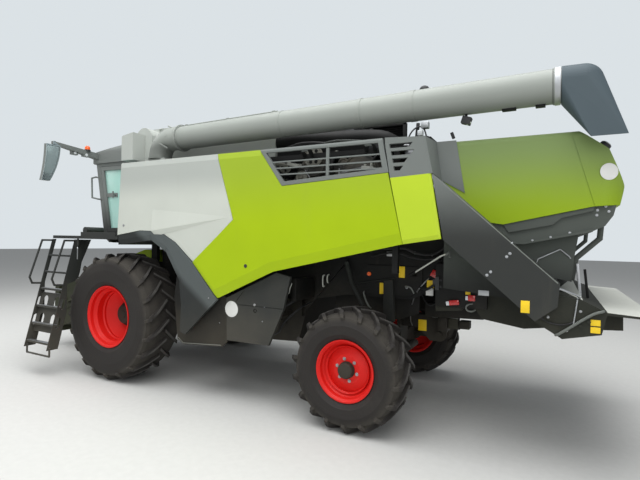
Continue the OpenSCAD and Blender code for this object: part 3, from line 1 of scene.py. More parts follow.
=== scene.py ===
# %% [markdown]
# # A combine harvester, dressed for its portrait
# The construction in model.glb holds every sheet, beam and wheel at its real place and size.
# This notebook gives those pieces their finishes and adds what is too small for them: bolts, lenses,
# hoses and labels without words. The frame is loaded first.

# %% Load the machine
import json
import math
import bpy
import bmesh
from mathutils import Matrix, Vector
from mathutils.bvhtree import BVHTree
from mathutils.geometry import interpolate_bezier


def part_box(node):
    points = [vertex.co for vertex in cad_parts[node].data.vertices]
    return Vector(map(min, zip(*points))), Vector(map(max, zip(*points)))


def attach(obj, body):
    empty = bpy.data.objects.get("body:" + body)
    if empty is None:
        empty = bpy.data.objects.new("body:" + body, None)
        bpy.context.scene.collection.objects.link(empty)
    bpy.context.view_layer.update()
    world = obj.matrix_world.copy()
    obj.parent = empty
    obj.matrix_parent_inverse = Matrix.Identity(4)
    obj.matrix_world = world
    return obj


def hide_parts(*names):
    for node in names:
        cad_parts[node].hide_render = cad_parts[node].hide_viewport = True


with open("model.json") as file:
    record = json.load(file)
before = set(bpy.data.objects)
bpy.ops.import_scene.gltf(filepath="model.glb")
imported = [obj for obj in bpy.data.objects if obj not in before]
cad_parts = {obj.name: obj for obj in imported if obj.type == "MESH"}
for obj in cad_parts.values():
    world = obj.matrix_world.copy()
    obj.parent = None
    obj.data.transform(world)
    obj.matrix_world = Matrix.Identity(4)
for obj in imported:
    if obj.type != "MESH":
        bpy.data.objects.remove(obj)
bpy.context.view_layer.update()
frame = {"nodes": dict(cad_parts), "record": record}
nodes = frame["nodes"]

# %% [markdown]
# Places on the machine are easiest to read from the ground under the front axle, as a workshop
# would measure them. The axle's place comes from a front rim, so nothing is written down twice.

# %% Measure from the front axle
rim_low, rim_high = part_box("rim_front_left")
rear_low, rear_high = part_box("rim_rear_left")
FRONT_WHEEL, REAR_WHEEL = (rim_low + rim_high) / 2, (rear_low + rear_high) / 2
axle = FRONT_WHEEL.x


def at(x, y, z):
    """A place in metres: forward of the front axle, left of the middle, above the ground."""
    return Vector((axle + x, y, z))


print("front wheel", [round(v, 3) for v in FRONT_WHEEL], "rear wheel", [round(v, 3) for v in REAR_WHEEL])

# %% [markdown]
# The camera stands where the photographer stood: beside the rear left corner, eyes two metres up,
# with a wide lens. The machine then shows its whole left side, larger towards its tail.

# %% Camera
SENSOR_WIDTH = 36.0
FOCAL_SHARE = 445.04 / 640  # focal length as a share of the picture's width
eye = at(-5.563, 5.732, 2.011)
heading, climb, lean = (math.radians(angle) for angle in (-62.159, 0.201, 1.088))
camera = bpy.data.objects.new("camera", bpy.data.cameras.new("camera"))
bpy.context.scene.collection.objects.link(camera)
camera.data.sensor_width = SENSOR_WIDTH
camera.data.lens = SENSOR_WIDTH * FOCAL_SHARE
camera.matrix_world = (Matrix.Translation(eye) @ Matrix.Rotation(heading - math.pi / 2, 4, "Z")
                       @ Matrix.Rotation(math.pi / 2 + climb, 4, "X") @ Matrix.Rotation(lean, 4, "Z"))
bpy.context.scene.camera = camera
print("lens", round(camera.data.lens, 2), "mm")

# %% [markdown]
# Materials are written as expressions. A small class stands for one output of a shader node and
# takes part in sums and products, so a dusty paint reads like the sentence that describes it.
# A second class holds one finish: its node tree, and one method that adds any kind of node.

# %% Expressions on shader values
class Value:
    """One output of a shader node, for use in Python expressions."""

    def __init__(self, finish, socket):
        self.finish, self.socket = finish, socket

    def math(self, operation, first, second=0.0):
        return self.finish.node("Math", {"operation": operation}, {0: first, 1: second})

    def __add__(self, other):
        return self.math("ADD", self, other)

    def __rsub__(self, other):
        return self.math("SUBTRACT", other, self)

    def __mul__(self, other):
        return self.math("MULTIPLY", self, other)

    def __pow__(self, other):
        return self.math("POWER", self, other)

    def sine(self):
        return self.math("SINE", self)

    __radd__ = __add__


class Finish:
    """A material being made, with the place on the machine as its pattern's coordinates."""

    def __init__(self, name):
        self.material = bpy.data.materials.new(name)
        self.material.use_nodes = True
        self.tree = self.material.node_tree
        self.shader = self.tree.nodes["Principled BSDF"]
        self.place = self.node("TexCoord", {}, {}, "Object")
        self.x, self.y, self.z = self.axes(self.place)

    def node(self, kind, settings, values, out=0):
        """Adds a shader node: its settings first, then the values or links of its sockets."""
        made = self.tree.nodes.new("ShaderNode" + kind)
        for key, setting in settings.items():
            setattr(made, key, setting)
        for key, value in values.items():
            if isinstance(value, Value):
                self.tree.links.new(value.socket, made.inputs[key])
            else:
                made.inputs[key].default_value = value
        return Value(self, made.outputs[out])

    def axes(self, place):
        """The three coordinates of a place, each as a value of its own."""
        split = self.node("SeparateXYZ", {}, {"Vector": place}).socket.node
        return [Value(self, split.outputs[axis]) for axis in "XYZ"]

    def stretched(self, *scale):
        """Coordinates for a pattern that is drawn out along the axis with the small number."""
        return self.node("Mapping", {}, {"Vector": self.place, "Scale": scale})

    def noise(self, scale, detail=3.0, where=None):
        values = {"Vector": where or self.place, "Scale": scale, "Detail": detail}
        return self.node("TexNoise", {}, values)

    def fade(self, value, start, end):
        """0 before start, 1 after end, and a soft step between them."""
        values = {"Value": value, "From Min": start, "From Max": end}
        return self.node("MapRange", {"interpolation_type": "SMOOTHSTEP"}, values)

    def mix(self, share, first, second):
        return self.node("Mix", {"data_type": "RGBA"}, {0: share, 6: first, 7: second}, 2)

    def wear(self, **inputs):
        """Feeds the shader: names use _ for a space, and bump takes (height, strength, distance)."""
        for name, value in inputs.items():
            if name == "bump":
                value = self.node("Bump", {}, dict(zip(("Height", "Strength", "Distance"), value)))
                name = "Normal"
            socket = self.shader.inputs[name.replace("_", " ")]
            if isinstance(value, Value):
                self.tree.links.new(value.socket, socket)
            else:
                socket.default_value = value
        return self.material


def rgb(red, green, blue):
    """Colour from 0 to 255 steps, as it looks, turned into the light that Blender counts with."""
    steps = (red / 255, green / 255, blue / 255)
    return tuple(((c + 0.055) / 1.055) ** 2.4 if c > 0.0393 else c / 12.92 for c in steps) + (1.0,)


def scaled(tint, share):
    """The same colour, darker or lighter."""
    return [min(c * share, 1) for c in tint[:3]] + [1]


DUST = rgb(140, 130, 112)
print("dust reflects", [round(share, 2) for share in DUST[:3]])

# %% [markdown]
# Sheet-metal paint on a farm machine is glossy above and dusty below. Dust gathers near the ground
# and in soft patches; where it lies, the colour goes brown and the gloss goes dull. The same rule
# makes every paint here, from lime to black, with only its tint and gloss changed, and some of them also
# carry painted light and shade by height.

# %% Painted metal
def paint(name, tint, gloss, dust, coat, painted_top_shading=None, painted_shade_below=None, rim=None):
    """Paint of one tint. The upper and lower steps are each (start height, end height, strength, colour):
    painted light over the upper part (painted shade there on the pale paint) and painted shade over the
    lower part. rim is (direction in x and z, start, end, colour) of painted shade past a slanted line."""
    f = Finish(name)
    patches = f.noise(2.2, 4.0)
    grain = f.noise(45.0, 2.0)
    low = 1 - f.fade(f.z, 0.1, 2.3)
    dusty = f.fade(low * 0.55 + patches * 0.5 + grain * 0.12, 0.42, 0.95) * dust
    shade = f.mix(patches, scaled(tint, 0.93), scaled(tint, 1.06))
    # Painted light on the upper part (painted shade there on the pale paint).
    if painted_top_shading:
        start, end, strength, pale = painted_top_shading
        shade = f.mix(f.fade(f.z + patches * 0.1, start, end) * strength, shade, pale)
    # Painted shade on the lower part.
    if painted_shade_below:
        start, end, strength, dark = painted_shade_below
        shade = f.mix((1 - f.fade(f.z, start, end)) * strength, shade, dark)
    # Painted shade past a slanted line, darker away from it.
    if rim:
        side, start, end, inner = rim
        shade = f.mix(f.fade(f.x * side[0] + f.z * side[1], start, end) * 0.85, shade, inner)
    streaks = f.noise(9.0, 3.0, f.stretched(1.0, 1.0, 0.12))
    shade = f.mix(f.fade(streaks, 0.62, 0.85) * dust * 0.25, shade, DUST)
    return f.wear(Base_Color=f.mix(dusty, shade, DUST), Roughness=(1 - gloss) + dusty * 0.5 + grain * 0.06,
                  Coat_Weight=coat, Coat_Roughness=0.12, Specular_IOR_Level=0.3, bump=(grain, 0.04, 0.001))


FENDER_EDGE = (0.58, -0.815)  # square to the side panel's slanted edge, in x and z
# where the fender's painted shade begins
fender_shade_start = axle * FENDER_EDGE[0] - 2.06
finishes = {
    # tint, gloss, dust, coat
    # lime: painted light on the upper part, paler and greyer above 2.2 m
    "lime": paint("lime paint", rgb(166, 192, 0), 0.5, 0.1, 0.0,
                  painted_top_shading=(2.2, 3.0, 0.45, rgb(144, 164, 66))),
    # hood: a darker copy of the lime as painted shade, with painted light on its upper part
    "hood_lime_painted_shading": paint("hood paint", rgb(141, 168, 0), 0.45, 0.1, 0.0,
                       painted_top_shading=(2.3, 3.05, 0.85, rgb(120, 139, 96))),
    # rear panels: a paler copy of the lime as painted light
    "rear_lime_painted_light": paint("rear paint", rgb(184, 208, 44), 0.5, 0.1, 0.0),
    # feeder: painted shade, near black below 1.4 to 1.52 m, where the front tyre's shadow falls
    "feeder_lime_painted_shade": paint("feeder paint", rgb(160, 188, 10), 0.5, 0.1, 0.0,
                          painted_shade_below=(1.4, 1.52, 0.97, rgb(22, 23, 22))),
    # pale panel: painted shade, darker above 2.55 m
    "light_grey": paint("pale paint", rgb(203, 207, 198), 0.5, 0.2, 0.08,
                        painted_top_shading=(2.55, 2.9, 0.8, rgb(170, 175, 170))),
    # anthracite: painted light, much paler above 2.05 m
    "anthracite": paint("anthracite paint", rgb(48, 50, 48), 0.4, 0.2, 0.02,
                        painted_top_shading=(2.05, 2.8, 0.95, rgb(118, 123, 120))),
    # base: dark as painted shade on the hood's base wall, with painted light above 1.55 m
    "shaded_base": paint("base paint", rgb(34, 36, 34), 0.35, 0.1, 0.0,
                         painted_top_shading=(1.55, 2.05, 0.9, rgb(80, 85, 80))),
    # fender: painted shade, darker past a line square to the side panel's edge
    "fender_grey": paint("fender plastic", rgb(84, 90, 90), 0.35, 0.1, 0.0,
                         rim=(FENDER_EDGE, fender_shade_start, fender_shade_start + 0.13, rgb(30, 32, 31))),
    "chopper_dark": paint("chopper paint", rgb(38, 40, 33), 0.35, 0.2, 0.0),
    "spout_blue": paint("spout plastic", rgb(74, 86, 92), 0.4, 0.15, 0.0),
    "frame_black": paint("frame paint", rgb(15, 16, 15), 0.4, 0.18, 0.0),
    # tube: painted shade on its underside, darker below 3.23 to 3.37 m
    "tube_grey": paint("tube paint", rgb(151, 156, 150), 0.5, 0.2, 0.08,
                       painted_shade_below=(3.23, 3.37, 0.6, rgb(84, 88, 84))),
    "dark_zinc": paint("dull zinc", rgb(104, 108, 104), 0.45, 0.25, 0.0),
    "pale_sheet": paint("pale zinc", rgb(206, 208, 200), 0.45, 0.15, 0.0),
    "rim_red": paint("wheel paint", rgb(218, 10, 4), 0.5, 0.05, 0.05),
}
print("paints:", ", ".join(finishes))

# %% [markdown]
# Tyres are the dustiest pieces. Soil packs between the lugs, the lug tops are scrubbed to a grey
# bloom, lightened further as a painted sheen, and shallow rings run round the side walls. All three depend
# on the distance from the wheel's own axle, so the pattern's coordinates are first moved to that axle with a
# Mapping node.

# %% Rubber
def rubber(name, hub, radius, lug):
    """Tyre rubber round one hub: soil between the lugs, scrubbed lug tops with a painted sheen and moulded
    rings.
    """
    f = Finish(name)
    across, _, up = f.axes(f.node("Mapping", {}, {"Vector": f.place, "Location": (-hub.x, 0.0, -hub.z)}))
    reach = (across * across + up * up) ** 0.5
    patches = f.noise(3.0, 5.0)
    grain = f.noise(38.0, 3.0)
    below_lugs = 1 - f.fade(reach, radius - lug * 1.25, radius - lug * 0.75)
    packed = below_lugs * f.fade(reach, radius - lug * 3.2, radius - lug * 1.6)
    # lug tops: a real scrubbed bloom, made lighter still as a painted sheen
    bloom_and_sheen = f.fade(reach, radius - lug * 0.35, radius - 0.004)
    side_wall = 1 - f.fade(reach, radius - lug * 3.4, radius - lug * 2.6)
    rings = f.fade((reach * 210.0).sine(), 0.86, 1.0) * side_wall
    dusty = f.fade(patches * 0.8 + grain * 0.35 + packed * 0.45, 0.55, 1.15)
    shade = f.mix(bloom_and_sheen * 0.8, rgb(33, 29, 26), rgb(84, 82, 79))
    return f.wear(Base_Color=f.mix(dusty * 0.35, shade, rgb(92, 88, 80)), Roughness=0.72 + dusty * 0.22,
                  bump=(rings * 0.6 + grain * 0.25, 0.35, 0.006))


finishes["tyre_front"] = rubber("front rubber", FRONT_WHEEL, radius=0.895, lug=0.05)
finishes["tyre_rear"] = rubber("rear rubber", REAR_WHEEL, radius=0.655, lug=0.05)

# %% [markdown]
# The rest are the finishes of small things: bare and galvanised steel with a streaky sheen, cast
# iron darkened by oil, grained plastic, woven seat cloth, tinted glass and coloured lenses.

# %% Steel, iron, plastic, cloth, glass and lenses
def metal(name, tint, rough, streak=30.0, dust=0.3):
    """Bare metal with a sheen drawn along the machine."""
    f = Finish(name)
    drawn = f.noise(streak, 3.0, f.stretched(0.15, 1.0, 1.0))
    patches = f.noise(5.0, 4.0)
    dusty = f.fade(patches + drawn * 0.2, 0.5, 0.95) * dust
    return f.wear(Base_Color=f.mix(dusty, f.mix(drawn, scaled(tint, 0.8), tint), DUST),
                  Metallic=0.85 - dusty * 0.8, Roughness=rough + drawn * 0.15 + dusty * 0.4)


def moulded(name, tint, rough, grain_size=120.0, depth=0.15):
    """Plastic or rubber with a moulded grain."""
    f = Finish(name)
    grain = f.node("TexVoronoi", {}, {"Vector": f.place, "Scale": grain_size})
    patches = f.noise(6.0, 3.0)
    return f.wear(Base_Color=f.mix(patches, scaled(tint, 0.85), tint),
                  Roughness=rough + patches * 0.12, bump=(grain, depth, 0.001))


def woven(name, tint, pitch):
    """Cloth: two sets of threads that cross."""
    f = Finish(name)
    warp = (f.y * pitch).sine() * 0.5 + 0.5
    weft = ((f.x + f.z) * pitch).sine() * 0.5 + 0.5
    cloth = warp * weft
    patches = f.noise(7.0, 3.0)
    return f.wear(Base_Color=f.mix(cloth * 0.5 + patches * 0.3, scaled(tint, 0.6), tint),
                  Roughness=0.85 + patches * 0.1, bump=(cloth, 0.3, 0.002))


def lens(name, tint):
    """Coloured plastic with fine ribs behind a smooth face."""
    f = Finish(name)
    ribs = ((f.y + f.z) * 330.0).sine() * 0.5 + 0.5
    return f.wear(Base_Color=f.mix(ribs * 0.4, tint, scaled(tint, 1.5)),
                  Roughness=0.12 + ribs * 0.08, Coat_Weight=0.6, bump=(ribs, 0.2, 0.002))


def tinted_glass(name, tint, seen_through):
    """Glass that lets a share of the picture through and has a thin film of smears."""
    f = Finish(name)
    smears = f.noise(3.5, 4.0)
    film = f.fade(smears, 0.45, 0.8)
    return f.wear(Base_Color=f.mix(film * 0.3, tint, rgb(205, 222, 215)), Roughness=0.04 + film * 0.1,
                  Alpha=1 - seen_through + film * 0.06, Coat_Weight=0.3)


finishes.update({
    "steel": metal("bare steel", rgb(176, 178, 180), 0.3),
    "galvanised": metal("galvanised steel", rgb(190, 193, 196), 0.42, 12.0, 0.15),
    "engine_grey": metal("cast iron", rgb(92, 92, 90), 0.55, 18.0, 0.6),
    "plastic": moulded("grained plastic", rgb(46, 47, 49), 0.55),
    "fabric": woven("seat cloth", rgb(74, 76, 80), 260.0),
    "glass": tinted_glass("tinted glass", rgb(204, 255, 242), 0.54),
    "mirror": metal("mirror glass", rgb(206, 222, 228), 0.06, 3.0, 0.04),
    "bay_metal": metal("dusty casting", rgb(150, 150, 142), 0.5, 14.0, 0.5),
    "lamp": lens("orange lens", rgb(236, 92, 14)),
    "red_lens": lens("red lens", rgb(178, 14, 12)),
    "clear_lens": lens("clear lens", rgb(206, 210, 212)),
    "yellow_label": moulded("yellow label", rgb(252, 212, 26), 0.45, 40.0, 0.02),
    "white_label": moulded("white label", rgb(236, 236, 232), 0.4, 40.0, 0.02),
    "hose": moulded("hose rubber", rgb(30, 30, 31), 0.5, 220.0, 0.3),
})
print("finishes:", len(finishes))

# %% [markdown]
# Each construction piece names the finish that its record gives it. The tyres differ, because their
# rings and dust need to know which axle they turn on, and so do a few sheets that carry painted light
# or shade because they lie higher, lower or more in the shade than the rest of their kind.

# %% Put the finishes on the machine
own_paint = {
    # node: a paint that differs from its record's slot, most of them by painted light or shade
    "rear_hood": "hood_lime_painted_shading",
    "rear_panels": "rear_lime_painted_light",
    "feeder_house": "feeder_lime_painted_shade",
    "fenders": "fender_grey",
    "hood_base": "shaded_base",
    "straw_chopper": "chopper_dark",
    "tube_spout": "spout_blue",
}
for part in frame["record"]["subparts"]:
    name, slot = part["node"], part["material_slot"]
    if slot == "tyre":
        slot = "tyre_front" if "front" in name else "tyre_rear"
    mesh = nodes[name].data
    mesh.materials.clear()
    mesh.materials.append(finishes[own_paint.get(name, slot)])

# %% [markdown]
# The light is that of a bright overcast day in a studio: a pale world all round, one very large
# lamp high above, a weaker one at the photographer's back and a third ahead of the machine. The
# background is pale because of its own colour for camera rays, so it doesn't light the machine.

# %% Light and floor
world = bpy.data.worlds.new("studio")
bpy.context.scene.world = world
world.use_nodes = True
tree = world.node_tree
ambient = tree.nodes["Background"]
ambient.inputs["Color"].default_value = (0.86, 0.9, 0.94, 1)
ambient.inputs["Strength"].default_value = 0.4
backdrop = tree.nodes.new("ShaderNodeBackground")
backdrop.inputs["Color"].default_value = (0.71, 0.76, 0.79, 1)
path = tree.nodes.new("ShaderNodeLightPath")
seen = tree.nodes.new("ShaderNodeMath")
seen.operation = "MAXIMUM"
blend = tree.nodes.new("ShaderNodeMixShader")
tree.links.new(path.outputs["Is Camera Ray"], seen.inputs[0])
tree.links.new(path.outputs["Is Transmission Ray"], seen.inputs[1])
tree.links.new(seen.outputs[0], blend.inputs[0])
tree.links.new(ambient.outputs[0], blend.inputs[1])
tree.links.new(backdrop.outputs[0], blend.inputs[2])
tree.links.new(blend.outputs[0], tree.nodes["World Output"].inputs["Surface"])

lamp_table = [
    # name, place, aimed at, size, power
    ("sky_lamp", (-1.0, 3.0, 13.0), (0.0, 0.0, 1.5), 14.0, 2400),
    ("yard_lamp", (-7.0, 12.0, 6.0), (0.0, 0.0, 1.5), 9.0, 420),
    ("front_lamp", (10.0, 3.0, 7.0), (0.0, 0.0, 1.5), 7.0, 250),
]
for name, place, target, size, power in lamp_table:
    lamp = bpy.data.objects.new(name, bpy.data.lights.new(name, "AREA"))
    lamp.data.size, lamp.data.energy = size, power
    lamp.location = place
    lamp.rotation_euler = (Vector(target) - Vector(place)).to_track_quat("-Z", "Y").to_euler()
    bpy.context.scene.collection.objects.link(lamp)

FLOOR_REACH, UNDER_TYRES = 70, 0.001
bm = bmesh.new()
bmesh.ops.create_grid(bm, x_segments=2, y_segments=2, size=FLOOR_REACH)
floor = bpy.data.objects.new("floor", bpy.data.meshes.new("floor"))
bm.to_mesh(floor.data)
bm.free()
floor.data.transform(Matrix.Translation((0, 0, -UNDER_TYRES)))
bpy.context.scene.collection.objects.link(floor)
ground = Finish("pale floor")
pebbles = ground.noise(14.0, 4.0)
floor.data.materials.append(ground.wear(
    Base_Color=ground.mix(pebbles, rgb(198, 198, 195), rgb(208, 208, 205)), Roughness=0.9))
bpy.context.scene.view_settings.view_transform = "Standard"
print("lamps:", [row[0] for row in lamp_table])

# %% [markdown]
# Everything from here on is added to the construction. Each new piece starts as a bmesh, is shaped
# by Blender's own operators, and goes through the same last step: doubles are merged, faces turned
# outwards, shallow edges shaded smooth and steep ones left crisp, and the piece is tied to the body
# it moves with.

# %% Finish a new piece
LEFT_AND_RIGHT = ((1, "left"), (-1, "right"))
BACKWARD, UPWARD = (-1, 0, 0), (0, 0, 1)
MERGE = 2e-5


def settle(name, bm, finish, body="machine", sharp=32.0):
    """Turns a bmesh into a finished piece that moves with a body."""
    bmesh.ops.remove_doubles(bm, verts=bm.verts, dist=MERGE)
    bmesh.ops.recalc_face_normals(bm, faces=bm.faces)
    for face in bm.faces:
        face.smooth = True
    for edge in bm.edges:
        edge.smooth = len(edge.link_faces) == 2 and edge.calc_face_angle(0.0) < math.radians(sharp)
    made = bpy.data.objects.new(name, bpy.data.meshes.new(name))
    bm.to_mesh(made.data)
    bm.free()
    made.data.materials.append(finishes[finish])
    bpy.context.scene.collection.objects.link(made)
    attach(made, body)
    return made


def facing(place, direction, roll=0.0):
    """A matrix that stands something up at a place along a direction."""
    stand = Vector(direction).to_track_quat("Z", "Y").to_matrix().to_4x4()
    return Matrix.Translation(place) @ stand @ Matrix.Rotation(math.radians(roll), 4, "Z")


def turned_about(place, degrees, axis):
    """A matrix that turns things about a place."""
    spin = Matrix.Rotation(math.radians(degrees), 4, axis)
    return Matrix.Translation(place) @ spin @ Matrix.Translation(-place)


print("pieces merge points closer than", MERGE * 1000, "mm")

# %% [markdown]
# Three operators make most of the small things. Caps, discs and domes are a profile that is spun
# round an axis. Boxes are a cube with bevelled edges, because no real edge is sharp. Sheets are one
# face that is extruded by its thickness, with the outer edge turned off. The functions whose names
# start with set_ go on to finish the piece.

# %% Turned shapes, blocks and sheets
def turn(bm, profile, matrix, steps):
    """Spins a profile of (radius, height) once round, as on a lathe."""
    known = set(bm.verts)
    points = [bm.verts.new((radius, 0, height)) for radius, height in profile]
    rims = [bm.edges.new(pair) for pair in zip(points, points[1:])]
    bmesh.ops.spin(bm, geom=points + rims, cent=(0, 0, 0), axis=(0, 0, 1), angle=2 * math.pi,
                   steps=steps, use_merge=True, use_duplicate=False)
    bmesh.ops.transform(bm, matrix=matrix, verts=[v for v in bm.verts if v not in known])


def soften(bm, edges, offset):
    """Rounds edges off in two steps."""
    bmesh.ops.bevel(bm, geom=list(edges), offset=offset, offset_type="OFFSET", affect="EDGES", segments=2,
                    profile=0.5, material=-1)


def block(bm, low, high, edge, matrix=Matrix()):
    """A box between two corners with rounded edges."""
    low, high = Vector(low), Vector(high)
    size = Matrix.Diagonal((*(high - low), 1.0))
    made = bmesh.ops.create_cube(bm, size=1.0, matrix=matrix @ Matrix.Translation((low + high) / 2) @ size)
    soften(bm, {e for v in made["verts"] for e in v.link_edges}, edge)


def sheet(bm, corners, thickness, edge):
    """A flat plate through its corners, thickened along a vector."""
    face = bm.faces.new([bm.verts.new(corner) for corner in corners])
    grown = bmesh.ops.extrude_face_region(bm, geom=[face], use_keep_orig=True)
    moved = [item for item in grown["geom"] if isinstance(item, bmesh.types.BMVert)]
    bmesh.ops.translate(bm, vec=thickness, verts=moved)
    soften(bm, {e for v in moved for e in v.link_edges if e.other_vert(v) in moved}, edge)


def set_block(name, finish, low, high, edge, degrees=0.0, side=1, body="machine"):
    """A finished block. It is turned about a cross axis through its middle, and side -1 mirrors it."""
    low, high = at(*low), at(*high)
    low.y, high.y = sorted((low.y * side, high.y * side))
    bm = bmesh.new()
    block(bm, low, high, edge, turned_about((low + high) / 2, degrees, "Y"))
    settle(name, bm, finish, body)


def set_turned(name, finish, profile, place, direction, steps=32, body="machine"):
    """A finished turned piece that stands at a place along a direction."""
    bm = bmesh.new()
    turn(bm, profile, facing(place, direction), steps)
    settle(name, bm, finish, body)


def disc(name, place, normal, radius, finish, depth=0.003, body="machine"):
    """A finished disc that lies on a surface."""
    profile = [(0.0, -0.001), (radius, -0.001), (radius, depth * 0.6), (radius - 0.003, depth), (0.0, depth)]
    set_turned(name, finish, profile, place, normal, body=body)


print("turned shapes, blocks and sheets are ready")

# %% [markdown]
# Hoses, rods and wires are a round section swept along a route. The route's few points become a
# smooth curve; a circle is set across it at each step, turned by the smallest angle from the one
# before so that the skin doesn't twist, and bridge_loops joins each circle to the next.

# %% Swept pipes
PIPE_SHARP = 50.0


def pipe(bm, route, radius, sides, steps, smooth=True):
    """Sweeps a round section along a route: rings are set across it and bridged one to the next."""
    route = [Vector(p) for p in route]
    line = [route[0]]
    if smooth:
        ahead = [(b - a) * 0.5 for a, b in zip([route[0]] + route[:-1], route[1:] + [route[-1]])]
        for i in range(len(route) - 1):
            reach = (route[i + 1] - route[i]).length
            first = route[i] + ahead[i].normalized() * reach / 3
            second = route[i + 1] - ahead[i + 1].normalized() * reach / 3
            line += interpolate_bezier(route[i], first, second, route[i + 1], steps)[1:]
    else:
        line = route
    stand = (line[1] - line[0]).to_track_quat("Z", "Y")
    before, rims = (line[1] - line[0]).normalized(), None
    for i, place in enumerate(line):
        way = (line[min(i + 1, len(line) - 1)] - line[max(i - 1, 0)]).normalized()
        stand = before.rotation_difference(way) @ stand
        before = way
        end = i in (0, len(line) - 1)
        ring = bmesh.ops.create_circle(bm, cap_ends=end, segments=sides, radius=radius,
                                       matrix=Matrix.Translation(place) @ stand.to_matrix().to_4x4())
        edges = list({e for v in ring["verts"] for e in v.link_edges})
        if rims:
            bmesh.ops.bridge_loops(bm, edges=rims + edges)
        rims = edges


def set_pipe(name, finish, radius, route, sides=10, steps=5, smooth=True, side=1):
    """A finished pipe through places that are measured from the front axle; side -1 mirrors it."""
    bm = bmesh.new()
    pipe(bm, [at(x, side * y, z) for x, y, z in route], radius, sides, steps, smooth)
    settle(name, bm, finish, sharp=PIPE_SHARP)


print("pipes stay smooth below", PIPE_SHARP, "degrees")

# %% [markdown]
# Small things lie on sheets that lean and bend. Their place is found as a hand would find it: a look
# goes level and square to the machine until it meets the first surface, and a tree of all the
# construction's faces answers with the point and the way the surface faces there.

# %% Where a surface lies
OUTSIDE = 2.4  # looks start this far from the middle: outside the machine,
INNER = 1.3    # just inside the side sheets,
DRIVES = 0.9   # or beside the threshing body
OVERHEAD = 3.9  # and this high for a look down on the roofs


def whole_machine():
    """All construction pieces as one tree of faces."""
    bm = bmesh.new()
    for thing in nodes.values():
        bm.from_mesh(thing.data)
    tree = BVHTree.FromBMesh(bm)
    bm.free()
    return tree


SURFACES = whole_machine()


def surface(x, z, side=1, start=OUTSIDE):
    """Where a look from one side, level and square to the machine, meets its first surface."""
    place, normal, _, _ = SURFACES.ray_cast(at(x, side * start, z), Vector((0, -side, 0)))
    return place, normal


def top_of(x, y):
    """The highest surface over a place."""
    return SURFACES.ray_cast(at(x, y, OVERHEAD), Vector((0, 0, -1)))[0]


print("side panel at", round(surface(-0.8, 2.4)[0].y, 3), "m from the middle")

# %% [markdown]
# A bolt head is a washer with a hexagon on it whose upper edge is turned off. It is made once here
# and set wherever the machine shows fixings. Its size is half the width across the hexagon's corners.

# %% Bolt
def bolt_mesh():
    """One bolt head of size 1."""
    bm = bmesh.new()
    head = bmesh.ops.create_cone(bm, cap_ends=True, segments=6, radius1=1.0, radius2=1.0, depth=0.8,
                                 matrix=Matrix.Translation((0, 0, 0.6)))
    edges = {e for v in head["verts"] for e in v.link_edges}
    upper = [e for e in edges if all(v.co.z > 0.9 for v in e.verts)]
    bmesh.ops.bevel(bm, geom=upper, offset=0.16, offset_type="OFFSET", affect="EDGES", segments=1,
                    profile=0.5, material=-1)
    turn(bm, [(0.0, 0.22), (1.36, 0.22), (1.44, 0.15), (1.44, -0.05), (0.0, -0.05)], Matrix(), 16)
    bmesh.ops.remove_doubles(bm, verts=bm.verts, dist=1e-5)
    mesh = bpy.data.meshes.new("bolt")
    bm.to_mesh(mesh)
    bm.free()
    return mesh


BOLT = bolt_mesh()


def bolts(bm, places, direction, size):
    """Sets bolt heads, each turned a little further than the one before."""
    for count, place in enumerate(places):
        known = len(bm.verts)
        bm.from_mesh(BOLT)
        bm.verts.ensure_lookup_table()
        where = facing(place, direction, count * 23.0) @ Matrix.Scale(size, 4)
        bmesh.ops.transform(bm, matrix=where, verts=bm.verts[known:])


print("bolt:", len(BOLT.polygons), "faces")

# %% [markdown]
# The front wheels are driven: a dark flange with ten nuts clamps the rim, and a domed cover closes
# the gears. The steered rear wheels have a plain cap inside a circle of six bright nuts. Caps are
# turned shapes; their profile is drawn once and spun round the wheel's own axle.

# %% Wheel hubs
wheel_table = [
    # kind, centre, face from the centre, nuts, circle, nut size, nut finish
    ("front", FRONT_WHEEL, 0.082, 10, 0.16, 0.013, "frame_black"),
    ("rear", REAR_WHEEL, 0.133, 6, 0.118, 0.013, "steel"),
]
cover_profiles = {
    "front": [(0.0, 0.071), (0.128, 0.071), (0.128, 0.0), (0.184, 0.0), (0.184, 0.01), (0.146, 0.016),
              (0.14, 0.078), (0.128, 0.09), (0.056, 0.096), (0.05, 0.106), (0.034, 0.11), (0.0, 0.11)],
    "rear": [(0.0, 0.024), (0.074, 0.024), (0.074, 0.0), (0.084, 0.0), (0.084, 0.052), (0.074, 0.066),
             (0.04, 0.074), (0.0, 0.076)],
}
for kind, centre, face, nuts, circle, nut, finish in wheel_table:
    offset = -face if kind == "front" else face
    for side, word in LEFT_AND_RIGHT:
        body = "wheel_" + kind + "_" + word
        out = Vector((0, side, 0))
        middle = Vector((centre.x, side * (centre.y + offset), centre.z))
        cover = cover_profiles[kind]
        set_turned("hub_cover_" + kind + "_" + word, "frame_black", cover, middle, out, 36, body)
        bm = bmesh.new()
        flange = middle + out * (0.011 if kind == "front" else 0.0)
        angles = [2 * math.pi * (i + 0.25) / nuts for i in range(nuts)]
        bolts(bm, [flange + Vector((math.cos(a), 0, math.sin(a))) * circle for a in angles], out, nut)
        settle("wheel_nuts_" + kind + "_" + word, bm, finish, body)
        bm = bmesh.new()
        valve_circle = (centre.z - 0.115) * 0.93
        stem = middle - Vector((valve_circle, 0, 0))
        pipe(bm, [stem, stem + out * 0.03, stem + out * 0.05 + Vector((0.012, 0, 0))], 0.006, 8, 3)
        settle("valve_" + kind + "_" + word, bm, "steel", body)
print("hubs on", 2 * len(wheel_table), "wheels")

# %% [markdown]
# Labels are thin plates with rounded corners on the paint. They carry no words. Each row of the
# table gives a plate's place, width and height; how deep it lies and how it leans come from the
# surface that a look from the side meets. In this and later tables, 1 side means the left one only.

